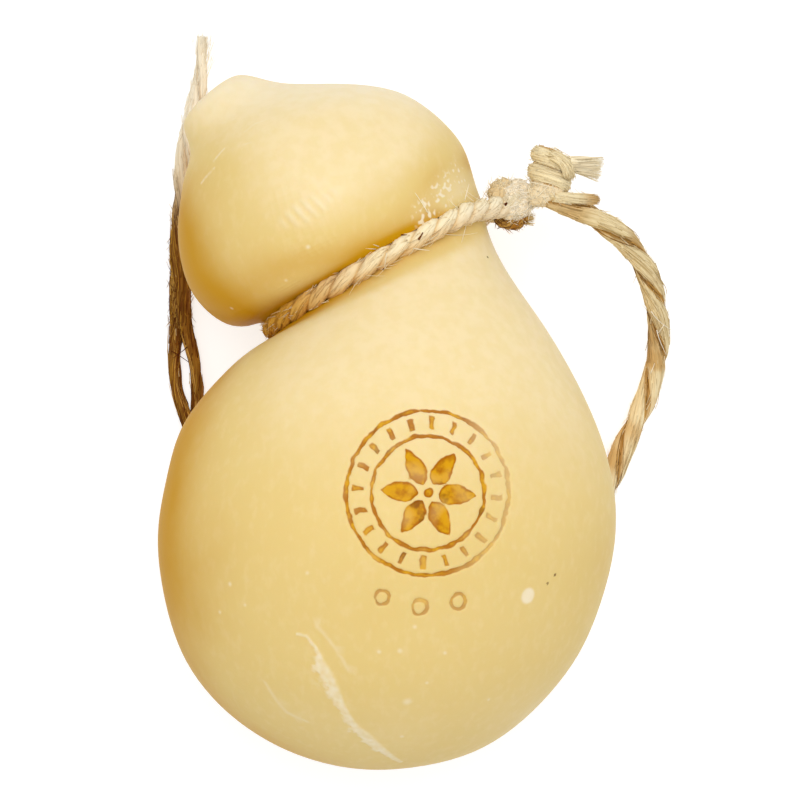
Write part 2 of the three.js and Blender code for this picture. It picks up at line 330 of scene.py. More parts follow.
class Twine:
    """One piece of twine: plies and lumps in a bmesh, and fibres that join it at the end."""

    def __init__(self, name):
        self.name = name
        self.bm = bmesh.new()
        self.uv = self.bm.loops.layers.uv.new("weave")
        for field in Tint._fields:
            self.bm.verts.layers.float.new(field)
        self.layers = [self.bm.verts.layers.float[field] for field in Tint._fields]
        self.seams = {}
        self.spread = TONE_SPREAD
        self.fibre_corners = []
        self.fibre_faces = []
        self.fibre_tints = []

    def roll(self, rows, sides, along, place, tint, slant=0.0):
        """Roll a sheet round a line. place and tint give each corner from its row and part of a turn."""
        sheet = bmesh.ops.create_grid(self.bm, x_segments=sides, y_segments=rows - 1, size=0.5)["verts"]
        corners = {}
        for vert in sheet:
            column = round((vert.co.x + 0.5) * sides)
            row = round((vert.co.y + 0.5) * (rows - 1))
            corners[row, column] = vert
        for (row, column), vert in corners.items():
            for loop in vert.link_loops:
                loop[self.uv].uv = (column / sides - slant * row, along[row] * WEAVE_PER_METRE)
            turn = (column % sides) / sides
            vert.co = place(row, turn)
            for layer, amount in zip(self.layers, tint(row, turn)):
                vert[layer] = amount
        for row in range(rows):
            self.seams[corners[row, sides]] = corners[row, 0]
        for row in (0, rows - 1):
            ring = [corners[row, column] for column in range(sides)]
            middle = sum((vert.co for vert in ring), Vector()) / sides
            ring[0].co = middle
            for vert in ring[1:]:
                self.seams[vert] = ring[0]

    def ply(
        self, route, sides, centre, thick, wide, turned, tint,
        grain=0.10, fold_shade_share=0.0, seam=-0.2, seam_shade_stain=0.0, hairs=0, slant=0.0, lines=0, lee=None,
    ):
        """One ply. Its sizes, turning angle and tint are given row by row.

        The fold amount, the stain laid on the fold and the dark seam lines paint shade into its seam, and
        lee is the side of the rope that gets a painted golden brown shade.
        """
        seed = random.uniform(0, GRAIN_SEEDS)

        def place(row, turn, lift=0.0):
            out = route.outward(row, turned(row))
            across = route.ways[row].cross(out)
            angle = 2 * math.pi * turn
            along = route.along[row]
            spot = Vector((GRAIN_TURN * math.cos(angle), GRAIN_TURN * math.sin(angle), along / GRAIN_LENGTH))
            spot += Vector((seed, seed, 0))
            uneven = 1 + grain * (noise.noise(spot) + GRAIN_FINE * noise.noise(spot * GRAIN_FINER))
            uneven += SLUB * noise.noise(Vector((along / SLUB_LENGTH, seed, 0)))
            offset = out * (math.cos(angle) * thick(row)) + across * (math.sin(angle) * wide(row))
            return route.points[row] + out * centre(row) + offset * uneven + offset.normalized() * lift

        def shaded(row, turn):
            plain = tint(row)
            fold_shade_amount = fold_shade_share * (1 - ease(seam, seam + SEAM_FADE, math.cos(2 * math.pi * turn)))
            fold_shade_amount *= 1 - FELT_HIDES * plain.felt
            stain = max(plain.stain, seam_shade_stain * fold_shade_amount)
            # painted shade on the lee side of the rope
            if lee:
                outward = (place(row, turn) - route.points[row]).normalized()
                stain = max(stain, LEE_SHADE_STAIN * (1 - plain.felt) * ease(*LEE_FROM, outward.dot(lee)))
            return plain._replace(shade=max(plain.shade, fold_shade_amount), stain=stain)

        # dark fibres laid in the seam as painted shade
        def in_seam_shade(row, turn):
            plain = tint(row)
            return plain._replace(stain=SEAM_SHADE_STAIN * (1 - plain.felt), shade=0.15, tone=0.62)

        self.roll(route.rows, sides, route.along, place, shaded, slant)
        self.cover(route.rows, place, shaded, hairs, slant, (0.0, SKIN_TURN))
        self.cover(route.rows, place, in_seam_shade, lines, 0.0, SEAM_TURN)

    def varied(self, tints):
        """A fibre is a little paler or darker than what it lies on."""
        shift = random.uniform(-self.spread, self.spread)
        return [tint._replace(tone=tint.tone + shift) for tint in tints]

    def cover(self, rows, place, tint, count, slant, reach):
        """Fibres that lie on a ply's skin, turning by slant each row; some spring off it at one end."""
        for _ in range(count):
            start = random.randrange(rows - FIBRE_SHORTEST)
            end = min(rows - 1, start + random.randint(*FIBRE_ROWS))
            turn = random.uniform(*reach) * random.choice((-1, 1))
            drift = slant * (end - start) + random.gauss(0, FIBRE_DRIFT)
            spring = FIBRE_SPRING * random.random() ** FIBRE_SPRING_POWER
            points = []
            tints = []
            for row in range(start, end + 1, FIBRE_STRIDE):
                share = (row - start) / (end - start)
                turned = turn + drift * (share - 0.5)
                points.append(place(row, turned, FIBRE_LIFT + spring * share * share))
                tints.append(tint(row, turned))
            self.fibre(points, random.uniform(*FIBRE_RADIUS), self.varied(tints))

    def fibre(self, points, thickness, tints):
        """One fibre: a three-sided thread above the table, thinner at its tip."""
        last = len(points) - 1
        start = len(self.fibre_corners)
        side = (points[1] - points[0]).orthogonal()
        for row, point in enumerate(points):
            way = (points[min(row + 1, last)] - points[max(row - 1, 0)]).normalized()
            side = (side - way * side.dot(way)).normalized()
            other = way.cross(side)
            thin = thickness * (1 - TIP_THIN * row / last)
            middle = Vector((point.x, point.y, max(point.z, thin)))
            for corner in range(FIBRE_SIDES):
                angle = 2 * math.pi * corner / FIBRE_SIDES
                off = side * math.cos(angle) + other * math.sin(angle)
                self.fibre_corners.append(middle + off * thin)
                self.fibre_tints.append(tints[row])
        for row in range(last):
            ring = start + row * FIBRE_SIDES
            above = ring + FIBRE_SIDES
            for corner in range(FIBRE_SIDES):
                beside = (corner + 1) % FIBRE_SIDES
                self.fibre_faces.append((ring + corner, ring + beside, above + beside, above + corner))
        end = start + last * FIBRE_SIDES
        self.fibre_faces.append((start + 2, start + 1, start))
        self.fibre_faces.append((end, end + 1, end + 2))

    def stray(self, start, way, length, thickness, bend, tint):
        """A loose fibre that leaves start along way and curls a little."""
        rows = 6
        curl = random_way() * bend
        points = []
        for row in range(rows):
            share = row / (rows - 1)
            points.append(start + (way + curl * share) * (length * share))
        self.fibre(points, thickness, self.varied([tint] * rows))

    def hair(self, start, end, thickness, bend, tint):
        """A loose fibre from start to end."""
        run = Vector(end) - Vector(start)
        self.stray(Vector(start), run.normalized(), run.length, thickness, bend, tint)

    def finish(self, node):
        """Close the seams, join the fibres to the plies and put the piece in the scene."""
        bmesh.ops.weld_verts(self.bm, targetmap=self.seams)
        bmesh.ops.recalc_face_normals(self.bm, faces=self.bm.faces)
        fibres = bpy.data.meshes.new("fibres")
        fibres.from_pydata(self.fibre_corners, [], self.fibre_faces)
        for number, field in enumerate(Tint._fields):
            layer = fibres.attributes.new(field, "FLOAT", "POINT")
            layer.data.foreach_set("value", [tint[number] for tint in self.fibre_tints])
        self.bm.from_mesh(fibres)
        bpy.data.meshes.remove(fibres)
        for face in self.bm.faces:
            face.smooth = True
        mesh = bpy.data.meshes.new(self.name)
        self.bm.to_mesh(mesh)
        self.bm.free()
        mesh.materials.append(TWINE)
        piece = add(self.name, mesh)
        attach(piece, "root")
        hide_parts(node)
        return piece


def random_way():
    way = Vector((random.gauss(0, 1), random.gauss(0, 1), random.gauss(0, 1)))
    return way.normalized()


def always(value):
    return lambda row: value


# Fuzz: fibres that stand off a rope
FUZZ_ROOT = 0.85
FUZZ_FLATTEST = 0.08
FUZZ_BEND = 0.2


class Fuzz(NamedTuple):
    """How many fibres, and how long at most, how steep at most and how thick they are."""
    count: int
    longest: float
    lift: float = 0.5
    thickness: float = 0.10 * MM


def loose_fibres(twine, route, radius, fuzz, tint, rows=None):
    """Fuzz on the given rows of a rope or all along it."""
    for _ in range(fuzz.count):
        row = random.choice(rows or range(2, route.rows - 2))
        out = route.outward(row, random.uniform(0, 2 * math.pi))
        along = route.ways[row] * random.choice((-1, 1))
        start = route.points[row] + out * radius * FUZZ_ROOT
        way = along + out * random.uniform(FUZZ_FLATTEST, fuzz.lift)
        length = random.uniform(*FIBRE_LENGTHS) * fuzz.longest
        twine.stray(start, way.normalized(), length, fuzz.thickness, FUZZ_BEND, tint(row))


# Hanging cord: two plies, laid as the letter S leans
CORD_ROUTE = metres([
    (0.0580, 0.0635, 0.0504), (0.0625, 0.0615, 0.0492), (0.0685, 0.0580, 0.0466),
    (0.0740, 0.0535, 0.0426), (0.0790, 0.0475, 0.0374), (0.0825, 0.0405, 0.0305),
    (0.0850, 0.0325, 0.0230), (0.0860, 0.0245, 0.0158), (0.0855, 0.0165, 0.0100),
    (0.0835, 0.0080, 0.0060), (0.0800, -0.0010, 0.0041), (0.0755, -0.0110, 0.0036),
    (0.0700, -0.0240, 0.0036), (0.0630, -0.0410, 0.0036), (0.0535, -0.0580, 0.0036),
    (0.0400, -0.0725, 0.0036), (0.0235, -0.0820, 0.0036), (0.0055, -0.0850, 0.0036),
    (-0.0120, -0.0830, 0.0036), (-0.0280, -0.0755, 0.0036), (-0.0410, -0.0625, 0.0036),
    (-0.0500, -0.0465, 0.0036), (-0.0560, -0.0290, 0.0036), (-0.0605, -0.0120, 0.0036),
    (-0.0635, 0.0040, 0.0036), (-0.0655, 0.0200, 0.0036), (-0.0665, 0.0360, 0.0036),
    (-0.0665, 0.0520, 0.0036), (-0.0655, 0.0680, 0.0036), (-0.0645, 0.0845, 0.0036),
    (-0.0620, 0.0980, 0.0036), (-0.0600, 0.1100, 0.0036), (-0.0595, 0.1225, 0.0036),
])
CORD_DIAMETER = 6.8 * MM
CORD_LAY = 46 * MM
CORD_STEP = 0.9 * MM
PLY_OFFSET = 1.30 * MM
PLY_THICK = 2.10 * MM
PLY_WIDE = 2.70 * MM
PLY_SIDES = 18
PLY_APART = 40 * MM
CORD_HAIRS = 700
CORD_LINES = 200
CORD_SLANT = 0.014
EXIT_LENGTH = 10 * MM
EXIT_OVERLAP = 7
EXIT_STEP = 0.8 * MM
EXIT_SCALE = 0.97
EXIT_HAIRS = 40
EXIT_LINES = 8
CORD_STAIN = 0.08
CORD_AMBER = 0.55
CORD_PATCH = 9 * MM
CORD_PATCH_FROM = (0.0, 0.45)
CORD_TONE = 0.56
# Painted light: the loop is paler where it runs low beside the body
LOW_LOOP_X = (0, 40 * MM)
LOW_LOOP_Y = (0, 30 * MM)
LOW_LOOP_PAINTED_LIGHT = 0.25
# On the left the cord is painted dark brown as the cheese's shadow, its twist is slack and the plies stand
# apart in an eye
LEFT_FROM = (25 * MM, 52 * MM)
SLACK_MIDDLE_Y = 22 * MM
SLACK_HALF_LENGTH = 28 * MM
SLACK_EASES = (0.6, 1.0)
SLACK_TWIST = 0.2
LEFT_PAINTED_DARKER = 0.20
EYE = Vector((-0.0645, 0.0136, 0.0036))
EYE_HALF_LENGTH = 19 * MM
EYE_CLOSES = (0.1, 1.0)
EYE_OFFSET = 3.3 * MM
EYE_PLY = 1.9 * MM
# The last bit is pale and frays out
PALE_FROM_Y = 58 * MM
PALE_TO_Y = 92 * MM
PALE_FELT = 0.85
END_PALER = 0.3
FRAY_FROM_Y = 90 * MM
END_Y = 122.5 * MM
FRAY_THINS = 0.62
FRAY_LEAST = 0.05
FRAY_FIBRES = 110
FRAY_ROOM = 1.6
FRAY_PARTS = 0.16
FRAY_LONGEST = 14 * MM
FRAY_THICK = 0.14 * MM
FRAY_BEND = 0.10
FRAY_TINT = Tint(felt=0.8, tone=0.9)
# White hairs that lie across the loop and dark ones across the eye, from start to end
LOOP_HAIRS = (
    ((0.0824, 0.0332, 0.0286), (0.0868, 0.0268, 0.0238)),
    ((0.0846, 0.0275, 0.0242), (0.0862, 0.0212, 0.0196)),
    ((0.0836, 0.0140, 0.0140), (0.0856, 0.0185, 0.0168)),
    ((0.0868, 0.0292, 0.0252), (0.0842, 0.0246, 0.0220)),
)
EYE_HAIRS = (
    ((-0.0690, 0.0212, 0.0066), (-0.0622, 0.0176, 0.0064)),
    ((-0.0668, 0.0246, 0.0064), (-0.0652, 0.0168, 0.0066)),
    ((-0.0640, 0.0226, 0.0066), (-0.0676, 0.0190, 0.0064)),
)
CROSSING_HAIR = 0.20 * MM
CROSSING_BEND = 0.3
LOOP_HAIR_TINT = Tint(felt=1.0, tone=1.0)
EYE_HAIR_TINT = Tint(stain=1.0, shade=0.8, tone=0.0)
# Fuzz all along the cord, pale fuzz that lies flatter, and more of it on the left
CORD_FUZZ = Fuzz(420, 4.5 * MM)
PALE_FUZZ = Fuzz(200, 4.5 * MM, lift=0.16, thickness=0.16 * MM)
PALE_FUZZ_SHADE = 0.3
PALE_FUZZ_TONE = 1.1
LEFT_FUZZ = Fuzz(420, 3.8 * MM, lift=0.75, thickness=0.12 * MM)
LEFT_FUZZ_Y = (26 * MM, 66 * MM)


def left_only(share):
    """A share along the cord that holds on its left stretch only."""
    return lambda point: share(point) * ease(*LEFT_FROM, -point.x)


# painted shadow: dark brown and darker fibres on the left stretch, fading out towards the pale end
cord_painted_shade = left_only(lambda point: 1 - ease(PALE_FROM_Y, PALE_TO_Y, point.y))
cord_pale = left_only(lambda point: PALE_FELT * ease(PALE_FROM_Y, PALE_TO_Y, point.y))
cord_fray = left_only(lambda point: ease(FRAY_FROM_Y, END_Y, point.y))
cord_eye = left_only(lambda point: 1 - ease(*EYE_CLOSES, abs(point.y - EYE.y) / EYE_HALF_LENGTH))
cord_slack = left_only(
    lambda point: 1 - ease(*SLACK_EASES, abs(point.y - SLACK_MIDDLE_Y) / SLACK_HALF_LENGTH)
)


def cord_tint(point):
    brown = cord_painted_shade(point)
    pale = cord_pale(point)
    amber = CORD_STAIN + CORD_AMBER * ease(*CORD_PATCH_FROM, noise.noise(point / CORD_PATCH))
    low_loop = ease(*LOW_LOOP_X, point.x) * (1 - ease(*LOW_LOOP_Y, point.y))
    tone = CORD_TONE - LEFT_PAINTED_DARKER * brown + END_PALER * pale + LOW_LOOP_PAINTED_LIGHT * low_loop
    return Tint(stain=max(brown, amber * (1 - pale)), felt=pale, tone=tone)


def cord_angles(route):
    """The plies' angle along the cord, so that they lie side by side at the eye."""
    turns = [0.0]
    for row in range(1, route.rows):
        step = route.along[row] - route.along[row - 1]
        tightness = 1 - (1 - SLACK_TWIST) * cord_slack(route.points[row])
        turns.append(turns[-1] + tightness * step / CORD_LAY)
    eye = min(range(route.rows), key=lambda row: (route.points[row] - EYE).length)
    level = route.angle_of(eye, Vector((1, 0, 0)))
    return [level - 2 * math.pi * (turn - turns[eye]) for turn in turns]


def lay_cord(twine, route, angles, hairs, lines, scale=1.0):
    """Two plies twisted round the route."""

    def size(usual, at_eye):
        def value(row):
            point = route.points[row]
            full = usual + (at_eye - usual) * cord_eye(point)
            return full * scale * (1 - FRAY_THINS * cord_fray(point))
        return value

    for ply in range(2):
        def turned(row, ply=ply):
            return angles[row] + math.pi * ply

        twine.ply(
            route, PLY_SIDES,
            centre=size(PLY_OFFSET, EYE_OFFSET),
            thick=size(PLY_THICK, EYE_PLY),
            wide=size(PLY_WIDE, EYE_PLY),
            turned=turned,
            tint=lambda row, ply=ply: cord_tint(route.points[row] + UP * (ply * PLY_APART)),
            # painted shade towards the seam between the plies
            fold_shade_share=0.65,
            seam=-0.52,
            seam_shade_stain=0.9,
            hairs=hairs,
            slant=CORD_SLANT,
            lines=lines,
        )


def make_cord():
    route = Route(CORD_ROUTE, CORD_STEP)
    angles = cord_angles(route)
    twine = Twine("hanging_cord")
    lay_cord(twine, route, angles, CORD_HAIRS, CORD_LINES)

    def tint(row):
        return cord_tint(route.points[row])

    def pale(row):
        return tint(row)._replace(stain=PALE_FUZZ_SHADE * cord_painted_shade(route.points[row]), tone=PALE_FUZZ_TONE)

    loose_fibres(twine, route, CORD_DIAMETER / 2, CORD_FUZZ, tint)
    loose_fibres(twine, route, CORD_DIAMETER / 2, PALE_FUZZ, pale)
    for hairs, hue in ((LOOP_HAIRS, LOOP_HAIR_TINT), (EYE_HAIRS, EYE_HAIR_TINT)):
        for start, end in hairs:
            twine.hair(start, end, CROSSING_HAIR, CROSSING_BEND, hue)
    low, high = LEFT_FUZZ_Y
    left = [row for row, point in enumerate(route.points) if point.x < 0 and low < point.y < high]
    loose_fibres(twine, route, CORD_DIAMETER / 2, LEFT_FUZZ, tint, left)
    fray = [row for row in range(route.rows) if cord_fray(route.points[row]) > FRAY_LEAST]
    for _ in range(FRAY_FIBRES):
        row = random.choice(fray)
        side = route.outward(row, random.uniform(0, 2 * math.pi))
        start = route.points[row] + side * random.uniform(0, FRAY_ROOM) * MM
        room = route.length - route.along[row]
        way = route.ways[row] + side * random.uniform(0, FRAY_PARTS)
        twine.stray(start, way, min(room, FRAY_LONGEST), FRAY_THICK, FRAY_BEND, FRAY_TINT)
    piece = twine.finish("hang_cord")
    tuple(CORD_ROUTE[0])
    [tuple(point) for point in route.points]
    return route, angles


cord_route, cord_twist = make_cord()


# Neck tie: the twine laid tight round the neck and drawn up in two knots
NECK_MIDDLE = Vector((-0.0022, 0.04572, 0.0469))
NECK_TURN = math.radians(29.6)
NECK_LEAN = math.radians(0.925)
NECK_ACROSS = 37.4 * MM
NECK_UP = 37.28 * MM
NECK_LEAVES = math.radians(35.7)
NECK_STEPS = 26
NECK_LAY = 17.2 * MM
NECK_PLY_OFFSET = 1.10 * MM
NECK_PLY_THICK = 2.10 * MM
NECK_PLY_WIDE = 2.40 * MM
NECK_STEP = 0.75 * MM
NECK_PHASE = 0.4
NECK_SLANT = 0.040
NECK_HAIRS = 350
NECK_TONE = 0.95
NECK_SPREAD = 0.45
NECK_FELT = 0.16
NECK_FELT_BY_KNOT = 0.3
BY_KNOT_X = (8 * MM, 34 * MM)
IN_CREASE_X = (-5 * MM, 30 * MM)
NECK_FUZZ = Fuzz(520, 4 * MM, lift=0.6, thickness=0.15 * MM)
NECK_LONG_FUZZ = Fuzz(60, 12 * MM, lift=0.9, thickness=0.13 * MM)
RUN_END_LIFT = 1.2 * MM
RUN_END_SHORT = 3.2 * MM
ROPE_RADIUS = 3.4 * MM
FIRST_KNOT = Vector((0.039, 0.0663, 0.048))
SECOND_KNOT = Vector((0.0495, 0.073, 0.051))
FIRST_KNOT_RADIUS = 5.9 * MM
FIRST_KNOT_TOP = Vector((0.0350, 0.0686, 0.0492))
FIRST_KNOT_TOP_RADIUS = 3.8 * MM
WRAP_AXIS = Vector((0.2, 1, 0)).normalized()
WRAP_RADIUS = 4.9 * MM
WRAP_PITCH = 5.2 * MM
WRAP_TURNS = 1.6
WRAP_FIRST = 0.27
WRAP_THICK = 2.1 * MM
WRAP_WIDE = 2.35 * MM
CORE_RADIUS = 5.4 * MM
CORE_STRETCH = 1.55
KNOT_SPRING = 2.2 * MM
KNOT_SPRING_POWER = 4
KNOT_CURL = 0.7
KNOT_FIBRE = (0.10 * MM, 0.20 * MM)
KNOT_SPREAD = 0.40
SIDE_KNOT = Vector((0.0472, 0.0682, 0.0522))
SIDE_KNOT_RADIUS = 3.6 * MM
ROPE_END = metres([(0.0325, 0.0626, 0.0498), (0.0365, 0.0650, 0.0515), (0.0405, 0.0674, 0.0510)])
LINK = metres([(0.039, 0.0663, 0.048), (0.0435, 0.0675, 0.0495), (0.048, 0.0695, 0.051)])
UPPER_TAIL = metres([(0.050, 0.0768, 0.052), (0.057, 0.0768, 0.053), (0.065, 0.0754, 0.052)])
STUB = metres([(0.0490, 0.0672, 0.0538), (0.0570, 0.0665, 0.0545), (0.0645, 0.0660, 0.0532)])
OVER = metres([
    (0.0485, 0.0795, 0.0555), (0.0520, 0.0780, 0.0580), (0.0543, 0.0755, 0.0582), (0.0553, 0.0722, 0.0555),
])
STUB_TIP = (0.55, 0.9)
STUB_STAIN = 0.8
# The lower tail: a brown tuft under the first knot with a curl on it and a bit of fuzz beside it
TUFT = Vector((0.0384, 0.0608, 0.0462))
TUFT_RADIUS = 3.0 * MM
TUFT_STRETCH = 1.5
TUFT_SPREAD = 0.7
CURL = metres([
    (0.0345, 0.0635, 0.0478), (0.0335, 0.0611, 0.0480), (0.0350, 0.0593, 0.0482), (0.0374, 0.0597, 0.0488),
    (0.0380, 0.0622, 0.0490),
])
LOWER_TAIL = metres([(0.0395, 0.0622, 0.0455), (0.0420, 0.0612, 0.0448), (0.0452, 0.0610, 0.0442)])
# Long stray hairs of the neck rope, and dark flecks on the twine and a painted shadow in a knot's hole with
# half widths, from start to end
STRAY_HAIRS = (
    ((-0.0029, 0.0493, 0.0868), (-0.0100, 0.0493, 0.0902)),
    ((0.0122, 0.0601, 0.0835), (0.0090, 0.0656, 0.0860)),
    ((0.0079, 0.0496, 0.0850), (0.0131, 0.0488, 0.0853)),
    ((0.0002, 0.0480, 0.0884), (-0.0005, 0.0435, 0.0872)),
    ((0.0230, 0.0640, 0.0790), (0.0245, 0.0690, 0.0810)),
    ((-0.0020, 0.0500, 0.0872), (-0.0065, 0.0515, 0.0893)),
    ((0.0433, 0.0712, 0.0568), (0.0514, 0.0694, 0.0580)),
    ((0.0500, 0.0684, 0.0570), (0.0523, 0.0640, 0.0548)),
    ((0.0455, 0.0668, 0.0562), (0.0492, 0.0708, 0.0576)),
)
FLECKS_AND_HOLE_SHADOW = (
    ((0.0044, 0.0534, 0.0872), (0.0063, 0.0534, 0.0868), 0.3 * MM),
    ((0.0095, 0.0521, 0.0856), (0.0108, 0.0540, 0.0850), 0.4 * MM),
    ((-0.0008, 0.0432, 0.0868), (-0.0005, 0.0438, 0.0870), 0.3 * MM),
    # a dark plug, the painted shadow in the hole beside the first knot
    ((0.0355, 0.0643, 0.0546), (0.0366, 0.0652, 0.0549), 0.7 * MM),
)
STRAY_HAIR = 0.17 * MM
STRAY_BEND = 0.1
STRAY_HAIR_TINT = Tint(felt=0.5, tone=1.0)
FLECK_AND_SHADOW_TINT = Tint(stain=1.0, shade=1.0, tone=0.0)
NECK_SIDEWAYS = Vector((math.cos(NECK_TURN), math.sin(NECK_TURN), 0))
NECK_FORWARD = Vector((-math.sin(NECK_TURN), math.cos(NECK_TURN), 0))
NECK_UPWARD = UP * math.cos(NECK_LEAN) + NECK_FORWARD * math.sin(NECK_LEAN)


def neck_point(angle):
    """A place on the twine's loop round the neck."""
    oval = NECK_SIDEWAYS * (NECK_ACROSS * math.cos(angle)) + NECK_UPWARD * (NECK_UP * math.sin(angle))
    return NECK_MIDDLE + oval


def neck_corners():
    run_end = FIRST_KNOT - NECK_SIDEWAYS * RUN_END_SHORT
    corners = [run_end + UP * RUN_END_LIFT]
    for step in range(NECK_STEPS + 1):
        angle = NECK_LEAVES + (2 * math.pi - 2 * NECK_LEAVES) * step / NECK_STEPS
        corners.append(neck_point(angle))
    corners.append(run_end - UP * RUN_END_LIFT)
    return corners


def lay_neck(twine):
    route = Route(neck_corners(), NECK_STEP)

    def tint(row):
        # painted shade: the rope turns golden brown where it runs into the crease on the left
        in_crease = ease(*IN_CREASE_X, -route.points[row].x)
        by_knot = ease(*BY_KNOT_X, route.points[row].x)
        felt = (NECK_FELT + NECK_FELT_BY_KNOT * by_knot) * (1 - in_crease)
        return Tint(stain=in_crease, felt=felt, tone=NECK_TONE)

    def fuzz(row):
        return tint(row)._replace(stain=0.3, felt=0.1)

    twine.spread = NECK_SPREAD
    for ply in range(2):
        def turned(row, ply=ply):
            return NECK_PHASE + math.pi * ply - 2 * math.pi * route.along[row] / NECK_LAY

        twine.ply(
            route, PLY_SIDES,
            centre=always(NECK_PLY_OFFSET),
            thick=always(NECK_PLY_THICK),
            wide=always(NECK_PLY_WIDE),
            turned=turned,
            tint=tint,
            grain=0.16,
            fold_shade_share=0.58,
            seam=-0.5,
            hairs=NECK_HAIRS,
            slant=NECK_SLANT,
            # painted shade on the side towards the body
            lee=-NECK_FORWARD,
        )
    loose_fibres(twine, route, ROPE_RADIUS, NECK_FUZZ, fuzz)
    loose_fibres(twine, route, ROPE_RADIUS, NECK_LONG_FUZZ, tint)
    for start, end in STRAY_HAIRS:
        twine.hair(start, end, STRAY_HAIR, STRAY_BEND, STRAY_HAIR_TINT)
    for start, end, half in FLECKS_AND_HOLE_SHADOW:
        twine.hair(start, end, half, STRAY_BEND, FLECK_AND_SHADOW_TINT)


# Knots, wraps and ends
LUMP_SWELL = 0.2
LUMP_GRAIN = 2.2
LUMP_SHIFT = 100
LUMP_POLE = 0.02
CORE_FELT = 0.8
CORE_SHADE = 0.28
CORE_STAIN_SHADE = 0.6
BAND_STEP = 0.7 * MM
BAND_HAIRS_PER_LINE = 5
END_STEP = 0.6 * MM
END_SIDES = 12
END_GRAIN = 0.25
STRAND_TIP = (0.85, 1.0)
STRAND_FUZZ = 3.5 * MM
STRAND_HAIRS_PER_FUZZ = 3
BRUSH_CORE = 0.85
BRUSH_TIP = (0.3, 1.0)
BRUSH_SKIN = (0.2, 1.0)
BRUSH_ROOTS = 0.6
BRUSH_SHORTEST = 8
BRUSH_TWIST = 1.2


def lump(twine, middle, radius, axis, stretch, tint, fibres):
    """A felted knot: a shaded ball with an uneven skin and fibres lying on it every way."""
    rows = 24
    sides = 30
    steps = 5
    along = [row * MM for row in range(rows)]

    def skin(way):
        swell = 1 + LUMP_SWELL * noise.fractal(way * LUMP_GRAIN + middle * LUMP_SHIFT, 1.0, 2.0, 3)
        return middle + (way + axis * (way.dot(axis) * (stretch - 1))) * (radius * swell)

    def ball(row, turn):
        tilt = math.pi * (row + LUMP_POLE) / (rows - 1 + 2 * LUMP_POLE)
        angle = 2 * math.pi * turn
        across = math.sin(tilt)
        return skin(Vector((across * math.cos(angle), across * math.sin(angle), math.cos(tilt))))

    core = tint._replace(felt=tint.felt * CORE_FELT, shade=CORE_SHADE + CORE_STAIN_SHADE * tint.stain)
    twine.roll(rows, sides, along, ball, lambda row, turn: core)
    for _ in range(fibres):
        way = random_way()
        lie = way.cross(random_way()).normalized()
        curl = way.cross(lie) * random.uniform(-KNOT_CURL, KNOT_CURL)
        length = random.uniform(*FIBRE_LENGTHS)
        spring = KNOT_SPRING * random.random() ** KNOT_SPRING_POWER
        points = []
        for step in range(steps):
            share = step / (steps - 1)
            onward = (way + (lie + curl * share) * (length * share)).normalized()
            points.append(skin(onward) + onward * (FIBRE_LIFT + spring * share * share))
        twine.fibre(points, random.uniform(*KNOT_FIBRE), twine.varied([tint] * steps))


def wrap_corners():
    """The turns of the wrap round the second knot."""
    sideways = WRAP_AXIS.cross(UP)
    steps = 14
    corners = []
    for step in range(round(WRAP_TURNS * steps) + 1):
        turns = step / steps
        angle = 2 * math.pi * turns
        round_axis = (sideways * math.cos(angle) + UP * math.sin(angle)) * WRAP_RADIUS
        corners.append(SECOND_KNOT + round_axis + WRAP_AXIS * (WRAP_PITCH * (turns - WRAP_FIRST)))
    return corners


def band(twine, corners, hub, axis, thick, wide, tint, hairs):
    """A flattened strand that lies round a hub."""
    route = Route(corners, BAND_STEP)

    def turned(row):
        off = route.points[row] - hub
        return route.angle_of(row, off - axis * off.dot(axis))

    # painted shade darkens the band's edges
    twine.ply(
        route, PLY_SIDES, always(0.0), always(thick), always(wide), turned, always(tint),
        grain=0.2, fold_shade_share=0.9, seam=0.0, seam_shade_stain=0.5, hairs=hairs, lines=hairs // BAND_HAIRS_PER_LINE,
    )


def strand(twine, corners, radius, tint, hairs):
    """A short bare end of one ply. Its tint is given along its length."""
    route = Route(corners, END_STEP)

    def tinted(row):
        return tint(route.along[row] / route.length)

    def slim(row):
        return radius * (1 - TIP_THIN * ease(*STRAND_TIP, route.along[row] / route.length))

    twine.ply(route, END_SIDES, always(0.0), slim, slim, always(0.0), tinted, END_GRAIN, hairs=hairs)
    loose_fibres(twine, route, radius, Fuzz(hairs // STRAND_HAIRS_PER_FUZZ, STRAND_FUZZ), tinted)


def brush(twine, corners, radius, spread, tint, fibres):
    """A short end of twine whose fibres part towards the tip."""
    route = Route(corners, END_STEP)

    def slim(row):
        return radius * (BRUSH_CORE - TIP_THIN * ease(*BRUSH_TIP, route.along[row] / route.length))

    twine.ply(route, END_SIDES, always(0.0), slim, slim, always(0.0), always(tint), END_GRAIN)
    for _ in range(fibres):
        angle = random.uniform(0, 2 * math.pi)
        reach = radius * math.sqrt(random.uniform(*BRUSH_SKIN))
        start = random.randrange(round(route.rows * BRUSH_ROOTS))
        end = min(route.rows - 1, start + random.randint(BRUSH_SHORTEST, route.rows))
        points = []
        for row in range(start, end + 1, FIBRE_STRIDE):
            share = route.along[row] / route.length
            out = route.outward(row, angle - BRUSH_TWIST * share)
            points.append(route.points[row] + out * reach * (BRUSH_CORE + spread * share * share))
        twine.fibre(points, random.uniform(*KNOT_FIBRE), twine.varied([tint] * len(points)))


def lay_exit(twine):
    """The cord's first bit, from inside the second knot to a little way over the hanging cord."""
    backwards = (CORD_ROUTE[0] - cord_route.points[2]).normalized()
    inside = CORD_ROUTE[0] + backwards * EXIT_LENGTH
    leading = Route([inside, *cord_route.points[:EXIT_OVERLAP:2]], EXIT_STEP)
    joint = EXIT_OVERLAP - 1
    meeting = leading.angle_of(leading.rows - 1, cord_route.outward(joint, cord_twist[joint]))
    angles = [meeting + 2 * math.pi * (leading.length - along) / CORD_LAY for along in leading.along]
    lay_cord(twine, leading, angles, EXIT_HAIRS, EXIT_LINES, EXIT_SCALE)


